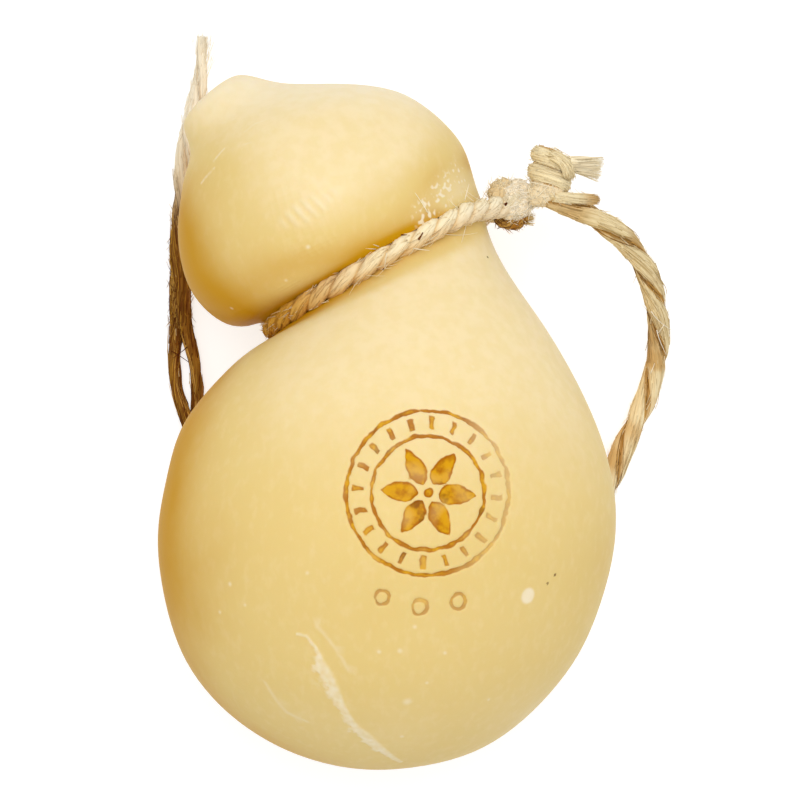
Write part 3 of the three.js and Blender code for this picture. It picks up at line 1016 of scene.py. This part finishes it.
def make_neck_tie():
    twine = Twine("neck_tie_twine")
    lay_neck(twine)
    twine.spread = KNOT_SPREAD
    felted = Tint(felt=1.0, tone=0.95)
    half_felted = Tint(felt=0.6, tone=0.75)
    olive = Tint(felt=0.1, tone=0.8)
    tan = Tint(stain=0.12, felt=0.3, tone=0.7)
    brown = Tint(stain=0.9, tone=0.6)
    lump(twine, FIRST_KNOT, FIRST_KNOT_RADIUS, NECK_SIDEWAYS, stretch=1.05, tint=felted, fibres=640)
    lump(twine, FIRST_KNOT_TOP, FIRST_KNOT_TOP_RADIUS, NECK_SIDEWAYS, stretch=1.1, tint=tan, fibres=300)
    brush(twine, ROPE_END, radius=3.0 * MM, spread=0.35, tint=Tint(felt=0.3, tone=0.85), fibres=150)
    brush(twine, LINK, radius=3.2 * MM, spread=0.3, tint=felted, fibres=70)
    lump(twine, SECOND_KNOT, CORE_RADIUS, WRAP_AXIS, CORE_STRETCH, tint=half_felted, fibres=300)
    lump(twine, SIDE_KNOT, SIDE_KNOT_RADIUS, NECK_SIDEWAYS, stretch=1.35, tint=half_felted, fibres=240)
    band(twine, wrap_corners(), SECOND_KNOT, WRAP_AXIS, WRAP_THICK, WRAP_WIDE, tint=olive, hairs=420)
    brush(twine, UPPER_TAIL, radius=2.6 * MM, spread=0.7, tint=Tint(felt=0.4, tone=0.85), fibres=300)
    strand(twine, OVER, radius=1.7 * MM, tint=always(olive), hairs=110)
    twine.spread = TUFT_SPREAD
    lump(twine, TUFT, TUFT_RADIUS, Vector((1, 0, 0)), TUFT_STRETCH, tint=brown, fibres=300)
    strand(twine, CURL, radius=1.0 * MM, tint=always(brown), hairs=60)
    twine.spread = KNOT_SPREAD
    brush(twine, LOWER_TAIL, radius=1.8 * MM, spread=0.6, tint=Tint(stain=0.2, tone=0.6), fibres=60)

    def brown_tip(share):
        return olive._replace(stain=STUB_STAIN * ease(*STUB_TIP, share))

    strand(twine, STUB, radius=1.3 * MM, tint=brown_tip, hairs=130)
    lay_exit(twine)
    twine.finish("neck_tie")


make_neck_tie()


# Cheese: colours of the rind, from the lit top to the shaded edges; the honey and gold are painted shade
STRAW = (0.855, 0.685, 0.360, 1)
STRAW_PALE = (0.880, 0.715, 0.415, 1)
HALF_SHADE_HONEY = (0.765, 0.568, 0.215, 1)
PAINTED_SHADE_GOLD = (0.580, 0.290, 0.004, 1)
INK = (0.42, 0.140, 0.001, 1)
INK_LIGHT = (0.66, 0.325, 0.004, 1)
INK_DARK = (0.20, 0.058, 0.001, 1)
WAX_AND_HIGHLIGHT = (0.90, 0.80, 0.60, 1)
DOT = (0.16, 0.07, 0.015, 1)
CLOUD_SCALE = 34.0
CLOUD_SHADE = 0.22
PATCH_SCALE = 260.0
PATCH_FROM = (0.34, 0.68)
GRAIN_SCALE = 1100.0
MILKY_STRETCH = (420, 260, 340)
MILKY_FROM = (0.45, 0.75)
MILKY_MOST = 0.16
HALF_SHADE_HONEY_FROM = (0.0, 0.46)
PAINTED_SHADE_GOLD_FROM = (0.40, 0.90)
GLOSS_FROM = (0.5, 0.2)
INK_EDGE = (-0.15, 0.2)
INK_RIM = (1.0, 0.1)
INK_RIM_SHARE = 0.15
INK_FROM = (0.38, 0.60)
BLOT_SCALE = 150.0
BLOT_FROM = (0.56, 0.70)
BLOT_MOST = 0.7
WAX_LEAST = 0.65
WAX_BY_PATCH = 0.6


def rind_material():
    shader = Shader("waxy rind")
    place = shader.place()
    cloud = shader.noise(place, CLOUD_SCALE, detail=3.0, roughness=0.55)
    patch = shader.noise(place, PATCH_SCALE, detail=3.0)
    grain = shader.noise(place, GRAIN_SCALE)
    blot = shader.noise(place, BLOT_SCALE, detail=3.0, roughness=0.6)
    milky = shader.noise(shader.stretch(place, MILKY_STRETCH), 1.0, detail=3.0)
    # painted shade: honey and then gold are mixed in where the painted shade amount is high
    shade = shader.attribute("painted_shade") + (cloud - 0.5) * CLOUD_SHADE
    colour = shader.mix(shader.ramp(patch, *PATCH_FROM), STRAW, STRAW_PALE)
    colour = shader.mix(shader.ramp(shade, *HALF_SHADE_HONEY_FROM), colour, HALF_SHADE_HONEY)
    colour = shader.mix(shader.ramp(milky, *MILKY_FROM) * MILKY_MOST, colour, STRAW_PALE)
    colour = shader.mix(shader.ramp(shade, *PAINTED_SHADE_GOLD_FROM), colour, PAINTED_SHADE_GOLD)
    depth = shader.attribute("mark")
    filled = shader.ramp(depth, *INK_EDGE) * shader.attribute("ink")
    uneven = patch * (1 - INK_RIM_SHARE) + shader.ramp(depth, *INK_RIM) * INK_RIM_SHARE
    ink = shader.mix(shader.ramp(uneven, *INK_FROM), INK_LIGHT, INK)
    ink = shader.mix(shader.ramp(blot, *BLOT_FROM) * BLOT_MOST, ink, INK_DARK)
    colour = shader.mix(filled, colour, ink)
    # pale wax, and the painted highlight on the wrinkles
    wax = shader.attribute("wax") * (WAX_LEAST + patch * WAX_BY_PATCH)
    colour = shader.mix(wax, colour, WAX_AND_HIGHLIGHT)
    colour = shader.mix(shader.attribute("dot"), colour, DOT)
    return shader.surface({
        "Base Color": colour,
        "Roughness": 0.40 + cloud * 0.12 + wax * 0.2,
        "Specular IOR Level": 0.04,
        "Subsurface Weight": 0.12,
        "Subsurface Radius": (1.0, 0.5, 0.12),
        "Subsurface Scale": 0.002,
        "Coat Weight": 0.10 * shader.ramp(shade, *GLOSS_FROM),
        "Coat Roughness": 0.25,
        "Normal": shader.bump(grain + patch, strength=0.10, distance=0.0003),
    })


# Cheese: the pressed mark on the belly, in millimetres from its middle
MARK_MIDDLE = Vector((11.8, -20.0))
MARK_TURN = math.radians(-4)
OUTER_RING = 22.6
INNER_RING = 15.6
RING_HALF = 0.62
BAR_COUNT = 20
BAR_FROM = 17.4
BAR_TO = 21.0
BAR_HALF = 0.8
PETALS = 6
PETAL_FROM = 2.6
PETAL_TO = 13.6
PETAL_HALF = 2.9
PETAL_TAPER = 0.8
HUB = 1.4
DOT_ROW = ((-10.5, -29.5), (0.0, -31.5), (10.5, -29.5))
DOT_RADIUS = 2.0
DOT_HALF = 0.5
SOFT_EDGE = 0.6
MARK_DEPTH = 0.40
MARK_REACH = 28.0
MARK_BLANK = -3.0
RING_INK = 0.95
BAR_INK = 0.9
PETAL_INK = 1.0
DOT_INK = 0.6
# The mark's lines waver over a length by a reach, are worn away in places and fade to one side
WAVERS = ((3.2, 0.45), (1.3, 0.25))
EDGE_LENGTH = 2.4
EDGE_UNEVEN = 0.35
EDGE_INSET = 0.05
WEAR_LENGTH = 6
WEAR_MIDDLE = 1.05
WEAR_SWING = 0.6
WEAR_LEAST = 0.4
FADE_X = (4, 20)
FADE_MOST = 0.55


def around(angle, count):
    """The angle from the nearest of evenly spread spokes."""
    wedge = 2 * math.pi / count
    return (angle + wedge / 2) % wedge - wedge / 2


def petal_depth(radius, angle):
    share = (radius - PETAL_FROM) / (PETAL_TO - PETAL_FROM)
    half = PETAL_HALF * math.sin(math.pi * min(max(share, 0.0), 1.0) ** PETAL_TAPER)
    outside = max(-share, share - 1, 0.0) * (PETAL_TO - PETAL_FROM)
    return half - abs(radius * math.sin(around(angle, PETALS))) - outside


def bar_depth(radius, angle):
    ends = (BAR_TO - BAR_FROM) / 2 - abs(radius - (BAR_FROM + BAR_TO) / 2)
    return min(ends, BAR_HALF - abs(radius * math.sin(around(angle, BAR_COUNT))))


def mark_shares(point):
    """How far a place lies inside the mark's lines, in millimetres, and how strongly it is coloured."""
    waver = Vector()
    for length, reach in WAVERS:
        waver += noise.noise_vector(point / length) * reach
    flat = Vector((point.x + waver.x, point.y + waver.y)) - MARK_MIDDLE
    turned = Vector((
        flat.x * math.cos(MARK_TURN) + flat.y * math.sin(MARK_TURN),
        flat.y * math.cos(MARK_TURN) - flat.x * math.sin(MARK_TURN),
    ))
    radius = turned.length
    angle = math.atan2(turned.y, turned.x)
    fade = 1 - FADE_MOST * ease(*FADE_X, turned.x)
    shapes = [
        (RING_HALF - abs(radius - OUTER_RING), RING_INK * fade),
        (RING_HALF - abs(radius - INNER_RING), RING_INK),
        (bar_depth(radius, angle), BAR_INK * fade),
        (petal_depth(radius, angle), PETAL_INK),
        (HUB - radius, PETAL_INK),
    ]
    for spot in DOT_ROW:
        shapes.append((DOT_HALF - abs((turned - Vector(spot)).length - DOT_RADIUS), DOT_INK))
    depth, tint = max(shapes)
    worn = WEAR_MIDDLE + WEAR_SWING * noise.noise(point / WEAR_LENGTH)
    depth += EDGE_UNEVEN * noise.noise(point / EDGE_LENGTH) - EDGE_INSET
    return max(depth, MARK_BLANK), tint * min(max(worn, WEAR_LEAST), 1.0)


# Cheese: cracked wax, specks and wrinkles, in millimetres on the surface
CRACK = (
    (-24.4, -59.3, 120.3, 0.25), (-21.9, -59.8, 121.1, 0.3), (-19.4, -62.9, 120.9, 0.4),
    (-18.4, -66.0, 119.8, 1.2), (-17.6, -68.9, 118.8, 2.5), (-15.4, -72.7, 117.3, 2.4),
    (-13.8, -76.8, 114.9, 2.0), (-12.1, -80.4, 112.5, 1.4), (-10.2, -84.1, 109.7, 1.3),
    (-8.6, -87.0, 107.0, 1.8), (-5.8, -89.6, 104.6, 2.1), (-3.0, -92.6, 101.0, 1.9),
    (0.9, -96.2, 95.6, 1.2), (4.4, -99.0, 89.5, 0.5),
)
STREAKS = (
    (
        (-34.5, -73.3, 108.7, 0.2), (-30.7, -79.8, 105.8, 0.5), (-27.9, -83.1, 104.2, 0.5),
        (-22.2, -85.6, 104.5, 0.2),
    ),
    (
        (-18.8, -57.1, 122.9, 0.5), (-16.9, -59.1, 122.7, 0.1), (-12.8, -64.4, 121.7, 0.2),
        (-9.8, -69.9, 119.7, 0.1),
    ),
)
STREAK_REACH = 3.0
STREAK_SOFT = 0.8
STREAK_WHITE = 0.26
CRACK_RELIEF = 0.16
CRACK_FROM_Y = -52.0
CRACK_REACH = 7.0
CRACK_FINE_REACH = 6.0
CRACK_THINNEST = 0.1
CRACK_RAGGED = 0.9
CRACK_RAGGED_LENGTH = 1.8
CRACK_FULL = 0.4
CRACK_LIP = 1.2
CRACK_BACK = 0.9
CRACK_SOFT = 0.4
CRACK_PATCH_LENGTH = 1.4
CRACK_PATCH_MIDDLE = 0.75
CRACK_PATCH_SWING = 0.5
CRACK_WHITE = 0.75
TOP_HALF = 60.0
SPOT = Vector((39.9, -49.2, 114.1))
SPOT_EDGE = (1.7, 2.8)
SPOT_REACH = 9.6
SPOT_WHITE = 0.8
DARK_DOTS = metres([(47.7, -43.7, 109.0), (45.7, -45.9, 110.3), (30.3, 48.1, 67.1)])
DARK_DOT_RADIUS = 0.45
DARK_DOT_STRENGTH = 0.9
SPECKS = (
    (-22.4, 49.7, 90.6, 1.1), (-29.0, 40.4, 84.8, 0.9), (-45.8, 32.9, 68.3, 0.9),
    (-43.5, -46.0, 113.0, 1.1), (-21.5, -42.1, 125.4, 0.9), (4.1, -63.8, 122.8, 1.2),
    (-1.7, -64.0, 122.9, 1.0), (6.1, -78.8, 114.2, 1.9), (4.7, -90.0, 103.8, 1.0),
    (24.8, 15.2, 103.9, 0.8), (29.3, -79.4, 104.5, 0.8), (-39.2, -51.7, 115.0, 0.8),
    (-46.6, -54.2, 108.0, 0.9), (16.6, -64.6, 120.1, 0.9), (8.2, -57.0, 124.7, 1.0),
    (11.6, -73.2, 117.0, 0.8),
)
SPECK_REACH = 4.8
SPECK_WHITE = 0.55
WRINKLES = Vector((-22.5, 60.5, 92.0))
WRINKLES_ALONG = Vector((0.876, 0.482, 0)).normalized()
WRINKLES_HALF = (11.0, 4.2)
WRINKLE_PITCH = 3.0
WRINKLES_REACH = 13.0
WRINKLE_SLANT = 0.25
WRINKLE_DEPTH = 0.30
# painted highlight on the wrinkles' ridges
WRINKLE_PAINTED_HIGHLIGHT = 0.38
CRUMBS = ((10.0, 60.0, 82.0, 5.0), (13.5, 63.5, 79.5, 6.0), (17.3, 67.4, 75.0, 6.5), (23.0, 73.0, 66.0, 6.0))
CRUMBS_REACH = 7
CRUMBS_FULL = 0.3
CRUMB_LENGTH = 1.2
CRUMB_FROM = (0.15, 0.5)
CRUMB_BETWEEN = 0.10
CRUMB_WHITE = 0.75
SCRATCHES = (
    ((-41.8, 84.8, 74.9, 0.3), (-39.1, 87.1, 74.5, 0.5), (-34.6, 88.6, 75.8, 0.2)),
    ((-42.0, 80.5, 78.7, 0.2), (-39.3, 81.2, 80.3, 0.3)),
    ((-51.1, 76.4, 72.5, 0.4), (-48.1, 79.9, 73.5, 0.4)),
    ((-55.1, 69.8, 70.2, 0.3), (-51.0, 73.9, 74.0, 0.4)),
    ((-34.7, 95.6, 65.1, 0.3), (-31.5, 97.3, 63.4, 0.3)),
)
SCRATCHES_FROM_Y = 62.0
SCRATCH_REACH = 3.5
SCRATCH_CORE = 0.2
SCRATCH_SOFT = 0.5
SCRATCH_LENGTH = 1.1
SCRATCH_MIDDLE = 0.7
SCRATCH_SWING = 0.9
SCRATCH_WHITE = 0.45
NUB_Y = (86, 102)
NUB_Z = (26, 60)
NUB_WHITE = 0.6
WHITE_FROM_Z = 50.0
FAR = 1000.0


def from_line(point, line):
    """Distance from a line of (x, y, z, half width) corners, the half width there and the side of it."""
    best = (FAR, 0.0, 0.0)
    for start, end in zip(line, line[1:]):
        first = Vector(start[:3])
        second = Vector(end[:3])
        run = second - first
        share = min(max((point - first).dot(run) / run.length_squared, 0.0), 1.0)
        off = point - first - run * share
        if off.length < best[0]:
            side = run.x * off.y - run.y * off.x
            best = (off.length, start[3] + (end[3] - start[3]) * share, math.copysign(1.0, side))
    return best


def near_line(point, lines, reach):
    return any(from_line(point, line)[0] < reach for line in lines)


def crack_shares(point):
    """Whitening and relief of the cracked wax: a ragged lip on one side that fades out on the other."""
    if point.y > CRACK_FROM_Y or point.z < TOP_HALF:
        return 0.0, 0.0
    distance, half, side = from_line(point, CRACK)
    if distance > CRACK_REACH:
        return 0.0, 0.0
    uneven = CRACK_RAGGED * noise.fractal(point / CRACK_RAGGED_LENGTH, 1.0, 2.0, 3)
    ragged = max(CRACK_THINNEST, 1 + uneven)
    full = half * CRACK_FULL
    end = half * CRACK_BACK + CRACK_SOFT
    if side < 0:
        full = half * CRACK_FULL * ragged
        end = half * CRACK_LIP * ragged + CRACK_SOFT
    share = 1 - ease(full, end, distance)
    patch = CRACK_PATCH_MIDDLE + CRACK_PATCH_SWING * noise.noise(point / CRACK_PATCH_LENGTH)
    return share * patch, share


def wrinkle_share(point):
    """Waves across the head that die away towards the edge of their oval."""
    flat = point - WRINKLES
    along = flat.dot(WRINKLES_ALONG)
    across = flat.dot(Vector((-WRINKLES_ALONG.y, WRINKLES_ALONG.x, 0)))
    reach = (along / WRINKLES_HALF[0]) ** 2 + (across / WRINKLES_HALF[1]) ** 2
    if reach > 1 or point.z < TOP_HALF:
        return 0.0
    wave = math.sin(2 * math.pi * (along + across * WRINKLE_SLANT) / WRINKLE_PITCH)
    return (1 - reach) * (0.5 + 0.5 * wave)


def whitened(point):
    """Pale wax on the nub and in the crack, spot, specks, streaks, crumbs and scratches, and a painted
    highlight on the wrinkles.
    """
    nub = NUB_WHITE * ease(*NUB_Y, point.y) * ease(*NUB_Z, point.z)
    if point.z < WHITE_FROM_Z:
        return nub
    amounts = [nub, CRACK_WHITE * crack_shares(point)[0], WRINKLE_PAINTED_HIGHLIGHT * wrinkle_share(point)]
    amounts.append(SPOT_WHITE * (1 - ease(*SPOT_EDGE, (point - SPOT).length)))
    for *speck, radius in SPECKS:
        amounts.append(SPECK_WHITE * (1 - ease(0.0, radius, (point - Vector(speck)).length)))
    if point.y < CRACK_FROM_Y:
        for line in STREAKS:
            distance, half, _ = from_line(point, line)
            amounts.append(STREAK_WHITE * (1 - ease(0.0, half + STREAK_SOFT, distance)))
    distance, half, _ = from_line(point, CRUMBS)
    crumbs = 1 - ease(CRUMBS_FULL * half, half, distance)
    crumb = ease(*CRUMB_FROM, noise.noise(point / CRUMB_LENGTH))
    amounts.append(crumbs * (CRUMB_BETWEEN + CRUMB_WHITE * crumb))
    if point.y > SCRATCHES_FROM_Y:
        broken = SCRATCH_MIDDLE + SCRATCH_SWING * noise.noise(point / SCRATCH_LENGTH)
        for line in SCRATCHES:
            distance, half, _ = from_line(point, line)
            scratch = SCRATCH_WHITE * (1 - ease(SCRATCH_CORE, half + SCRATCH_SOFT, distance))
            amounts.append(scratch * broken)
    return max(amounts)


# Cheese: painted shade, a deeper gold where the rind turns away from the light, down the body, beside the
# twine, under the head and along the lower left rim; the gold is also deeper underneath
LIT_FROM = Vector((0.35, 0.50, 0.79)).normalized()
BRIGHT_SIDE = Vector((0.62, 0.25, 0.74)).normalized()
MOST_GOLD = 0.95
BELLY_GOLD = 0.74
BELLY_FROM = (-0.15, 0.6)
ON_HEAD = (0, 14)
BODY_GOLD = 0.38
BODY_Y = (-35, 35)
BODY_END_LESS = 0.4
BODY_END_Y = (40, 95)
SLOPE_GOLD = 0.09
SLOPE_FROM = (0.40, 0.95)
HEAD_SLOPE_GOLD = 0.36
HEAD_TOP_LESS = 0.9
HEAD_TOP_Y = (72, 92)
EDGE_GOLD = 0.82
EDGE_FROM = (-0.75, 0.30)
EDGE_BELOW_LESS = 0.85
EDGE_BELOW_Y = (10, 95)
EDGE_ABOVE_LESS = 0.8
EDGE_ABOVE_Y = (50, 78)
UNDER_HEAD_GOLD = 0.60
UNDER_HEAD_FROM = (3, 31.0)
UNDER_HEAD_SIDE = (-2, 3)
UNDER_HEAD_LEFT_X = (0, 30)
UNDER_HEAD_LEFT_LESS = 0.25
GOLD_BY_KNOT_X = (12, 22)
UNDER_HEAD_KNOT_LESS = 0.75
BESIDE_TWINE_KNOT_LESS = 0.6
BESIDE_TWINE_GOLD = 0.35
BESIDE_TWINE = (3.6, 7.0)
BODY_BY_TWINE_GOLD = 0.62
BODY_BY_TWINE = (3.6, 12.0)
BODY_BY_TWINE_SIDE = (-2, 2)
BODY_BY_TWINE_LESS = 0.4
BODY_BY_TWINE_LESS_X = (22, 34)
LEFT_SHOULDER_GOLD = 0.28
LEFT_SHOULDER_X = (25, 58)
LEFT_SHOULDER_Y = (-20, 12)
RIGHT_OF_HEAD_GOLD = 0.38
RIGHT_OF_HEAD_X = (0, 26)
RIGHT_OF_HEAD_FROM = (6, 16)
LOW_RIM_GOLD = 0.44
LOW_RIM_TILT = (-0.1, 0.75)
LOW_RIM_LOW = (0.0, 0.9)
LOW_RIM_LEFT = (-0.8, 0.5)
# The groove closes on the twine
GROOVE_RADIUS = 3.85
GROOVE_SQUEEZE = 1.3
GROOVE_FADE = 3.5


def from_neck(point):
    """The offset in millimetres from the twine round the neck, and its share towards the head."""
    flat = point * MM - NECK_MIDDLE
    angle = math.atan2(flat.dot(NECK_UPWARD) / NECK_UP, flat.dot(NECK_SIDEWAYS) / NECK_ACROSS)
    offset = point - neck_point(angle) / MM
    return offset, offset.dot(NECK_FORWARD)


def painted_shade_depth(point, normal):
    """How deep the painted shade is, from where a place lies and how it faces."""
    offset, forward = from_neck(point)
    away = offset.length
    on_head = ease(*ON_HEAD, forward)
    by_knot = ease(*GOLD_BY_KNOT_X, point.x)
    head_side = on_head * (1 - HEAD_TOP_LESS * ease(*HEAD_TOP_Y, point.y))
    down_body = BODY_GOLD * (1 - ease(*BODY_Y, point.y)) * (1 - BODY_END_LESS * ease(*BODY_END_Y, -point.y))
    slope = (SLOPE_GOLD + HEAD_SLOPE_GOLD * head_side) * (1 - ease(*SLOPE_FROM, normal.dot(LIT_FROM)))
    edge = EDGE_GOLD * (1 - ease(*EDGE_FROM, normal.dot(BRIGHT_SIDE)))
    edge_below = 1 - EDGE_BELOW_LESS * ease(*EDGE_BELOW_Y, -point.y)
    edge_above = 1 - EDGE_ABOVE_LESS * ease(*EDGE_ABOVE_Y, point.y)
    edge *= edge_below * edge_above
    under_head = (1 - ease(*UNDER_HEAD_FROM, away)) * ease(*UNDER_HEAD_SIDE, forward)
    left_less = UNDER_HEAD_LEFT_LESS * ease(*UNDER_HEAD_LEFT_X, -point.x)
    under_head *= (UNDER_HEAD_GOLD - left_less) * (1 - UNDER_HEAD_KNOT_LESS * by_knot)
    beside_twine = BESIDE_TWINE_GOLD * (1 - ease(*BESIDE_TWINE, away))
    beside_twine *= 1 - BESIDE_TWINE_KNOT_LESS * by_knot
    body_by_twine = BODY_BY_TWINE_GOLD * (1 - ease(*BODY_BY_TWINE, away))
    body_by_twine *= ease(*BODY_BY_TWINE_SIDE, -forward)
    body_by_twine *= 1 - BODY_BY_TWINE_LESS * ease(*BODY_BY_TWINE_LESS_X, point.x)
    near_twine = under_head + max(beside_twine, body_by_twine)
    left_shoulder = LEFT_SHOULDER_GOLD * ease(*LEFT_SHOULDER_X, -point.x) * ease(*LEFT_SHOULDER_Y, point.y)
    left_shoulder *= 1 - on_head
    right_of_head = RIGHT_OF_HEAD_GOLD * on_head * ease(*RIGHT_OF_HEAD_X, point.x)
    right_of_head *= ease(*RIGHT_OF_HEAD_FROM, away)
    # painted contact shadow along the lower left rim
    low_rim = LOW_RIM_GOLD * (1 - ease(*LOW_RIM_TILT, normal.z)) * ease(*LOW_RIM_LOW, -normal.y)
    low_rim *= ease(*LOW_RIM_LEFT, -normal.x)
    low_rim *= 1 - on_head
    lit = min(MOST_GOLD, down_body + slope + edge + near_twine + left_shoulder + right_of_head + low_rim)
    # deeper gold underneath, where the rind faces down
    return lit + (BELLY_GOLD - lit) * ease(*BELLY_FROM, -normal.z)


# Cheese: the solid's mesh rounded off, cut finer where there is relief, then pressed and marked
DOT_ROW_HALF = 16
DOT_ROW_BELOW = -37
MERGE_WITHIN = 0.001 * MM
FLATNESS = math.radians(60)
FINE_CUTS = 7
LUMP_LENGTH = 26
LUMP_HEIGHT = 0.30
LUMPS_FROM_TWINE = (4, 14)
FLAT_BELOW = 4.0
RIND_LAYERS = ("painted_shade", "mark", "ink", "wax", "dot")


def fine_zone(point):
    """Whether a place has relief or small spots, so that its mesh is cut finer."""
    if point.z < TOP_HALF:
        return False
    flat = Vector((point.x, point.y)) - MARK_MIDDLE
    if flat.length < MARK_REACH or (abs(flat.x) < DOT_ROW_HALF and DOT_ROW_BELOW < flat.y < 0):
        return True
    if (point - WRINKLES).length < WRINKLES_REACH or (point - SPOT).length < SPOT_REACH:
        return True
    if any((point - Vector(spot[:3])).length < SPECK_REACH for spot in (*DARK_DOTS, *SPECKS)):
        return True
    if near_line(point, [CRUMBS], CRUMBS_REACH):
        return True
    if point.y > SCRATCHES_FROM_Y:
        return near_line(point, SCRATCHES, SCRATCH_REACH)
    if point.y < CRACK_FROM_Y:
        return near_line(point, STREAKS, STREAK_REACH) or near_line(point, [CRACK], CRACK_FINE_REACH)
    return False


def rounded_mesh(node):
    """A solid's mesh with its triangles paired up and its facets rounded off."""
    bm = bmesh.new()
    bm.from_mesh(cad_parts[node].data)
    bmesh.ops.remove_doubles(bm, verts=bm.verts, dist=MERGE_WITHIN)
    bmesh.ops.join_triangles(
        bm, faces=bm.faces, angle_face_threshold=FLATNESS, angle_shape_threshold=math.pi,
    )
    coarse = bpy.data.meshes.new("coarse")
    bm.to_mesh(coarse)
    bm.free()
    holder = add("coarse", coarse)
    rounding = holder.modifiers.new("rounding", "SUBSURF")
    rounding.levels = 1
    rounding.render_levels = 1
    seen = holder.evaluated_get(bpy.context.evaluated_depsgraph_get())
    mesh = bpy.data.meshes.new_from_object(seen)
    bpy.data.objects.remove(holder)
    bpy.data.meshes.remove(coarse)
    return mesh


def make_cheese():
    mesh = rounded_mesh("cheese")
    bm = bmesh.new()
    bm.from_mesh(mesh)
    fine = {vert for vert in bm.verts if fine_zone(vert.co / MM)}
    edges = [edge for edge in bm.edges if fine.issuperset(edge.verts)]
    bmesh.ops.subdivide_edges(bm, edges=edges, cuts=FINE_CUTS, use_grid_fill=True)
    ngons = [face for face in bm.faces if len(face.verts) > 4]
    bmesh.ops.triangulate(bm, faces=ngons)
    bm.normal_update()
    for name in RIND_LAYERS:
        bm.verts.layers.float.new(name)
    layers = {name: bm.verts.layers.float[name] for name in RIND_LAYERS}
    for vert in bm.verts:
        point = vert.co / MM
        normal = vert.normal.copy()
        # painted shade, kept on each corner
        vert[layers["painted_shade"]] = painted_shade_depth(point, normal)
        # pale wax, and the painted highlight on the wrinkles
        vert[layers["wax"]] = whitened(point)
        for dot in DARK_DOTS:
            if (point - dot).length < DARK_DOT_RADIUS:
                vert[layers["dot"]] = DARK_DOT_STRENGTH
        raised = LUMP_HEIGHT * noise.noise(point / LUMP_LENGTH) * ease(FLAT_BELOW, 4 * FLAT_BELOW, point.z)
        offset = from_neck(point)[0]
        raised *= ease(*LUMPS_FROM_TWINE, offset.length)
        squeeze = GROOVE_SQUEEZE * (1 - ease(GROOVE_RADIUS, GROOVE_RADIUS + GROOVE_FADE, offset.length))
        vert[layers["mark"]] = MARK_BLANK
        if point.z > TOP_HALF:
            depth, tint = mark_shares(point)
            vert[layers["mark"]] = depth
            vert[layers["ink"]] = tint
            raised -= MARK_DEPTH * ease(-SOFT_EDGE / 2, SOFT_EDGE / 2, depth)
            raised += CRACK_RELIEF * crack_shares(point)[1]
            raised += WRINKLE_DEPTH * wrinkle_share(point)
        vert.co += (normal * raised - offset.normalized() * squeeze) * MM
    for face in bm.faces:
        face.smooth = True
    bm.to_mesh(mesh)
    bm.free()
    mesh.name = "cheese_body"
    mesh.materials.clear()
    mesh.materials.append(rind_material())
    piece = add("cheese_body", mesh)
    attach(piece, "root")
    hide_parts("cheese")


make_cheese()


# Table and light
FLOOR_HALF = 4.0
FLOOR_GLOW = 0.66
FLOOR_GREY = (0.52, 0.52, 0.52, 1)
FLOOR_PALE = (0.55, 0.55, 0.55, 1)
FLOOR_CLOUDS = 3.0
ROOM_GLOW = 0.57
WINDOW_PLACE = (0.03, 0.18, 1.00)
WINDOW_AIM = (0, 0, 0.06)
WINDOW_SIZE = 0.7
WINDOW_POWER = 5.6


def make_floor():
    bm = bmesh.new()
    bmesh.ops.create_grid(bm, x_segments=1, y_segments=1, size=FLOOR_HALF)
    mesh = bpy.data.meshes.new("table_top")
    bm.to_mesh(mesh)
    bm.free()
    shader = Shader("white table")
    tone = shader.noise(shader.place(), FLOOR_CLOUDS)
    mesh.materials.append(shader.surface({
        "Base Color": shader.mix(tone, FLOOR_GREY, FLOOR_PALE),
        "Roughness": 0.9,
        "Specular IOR Level": 0.0,
        "Emission Color": WHITE,
        "Emission Strength": FLOOR_GLOW,
    }))
    floor = add("table_top", mesh)
    floor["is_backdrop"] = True


def make_window():
    """A round soft light above the table."""
    data = bpy.data.lights.new("window", "AREA")
    data.shape = "DISK"
    data.size = WINDOW_SIZE
    data.energy = WINDOW_POWER
    lamp = add("window", data)
    lamp.location = WINDOW_PLACE
    aim = Vector(WINDOW_AIM) - Vector(WINDOW_PLACE)
    lamp.rotation_euler = aim.to_track_quat("-Z", "Y").to_euler()


def make_room():
    """Even light from all sides."""
    world = bpy.data.worlds.new("room")
    world.use_nodes = True
    room = world.node_tree.nodes["Background"]
    room.inputs["Color"].default_value = WHITE
    room.inputs["Strength"].default_value = ROOM_GLOW
    bpy.context.scene.world = world
    bpy.context.scene.view_settings.view_transform = "Standard"


make_floor()
make_window()
make_room()

boxes = {"cad": cad_box, "visual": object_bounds()}
{name: [list(corner) for corner in box] for name, box in boxes.items()}
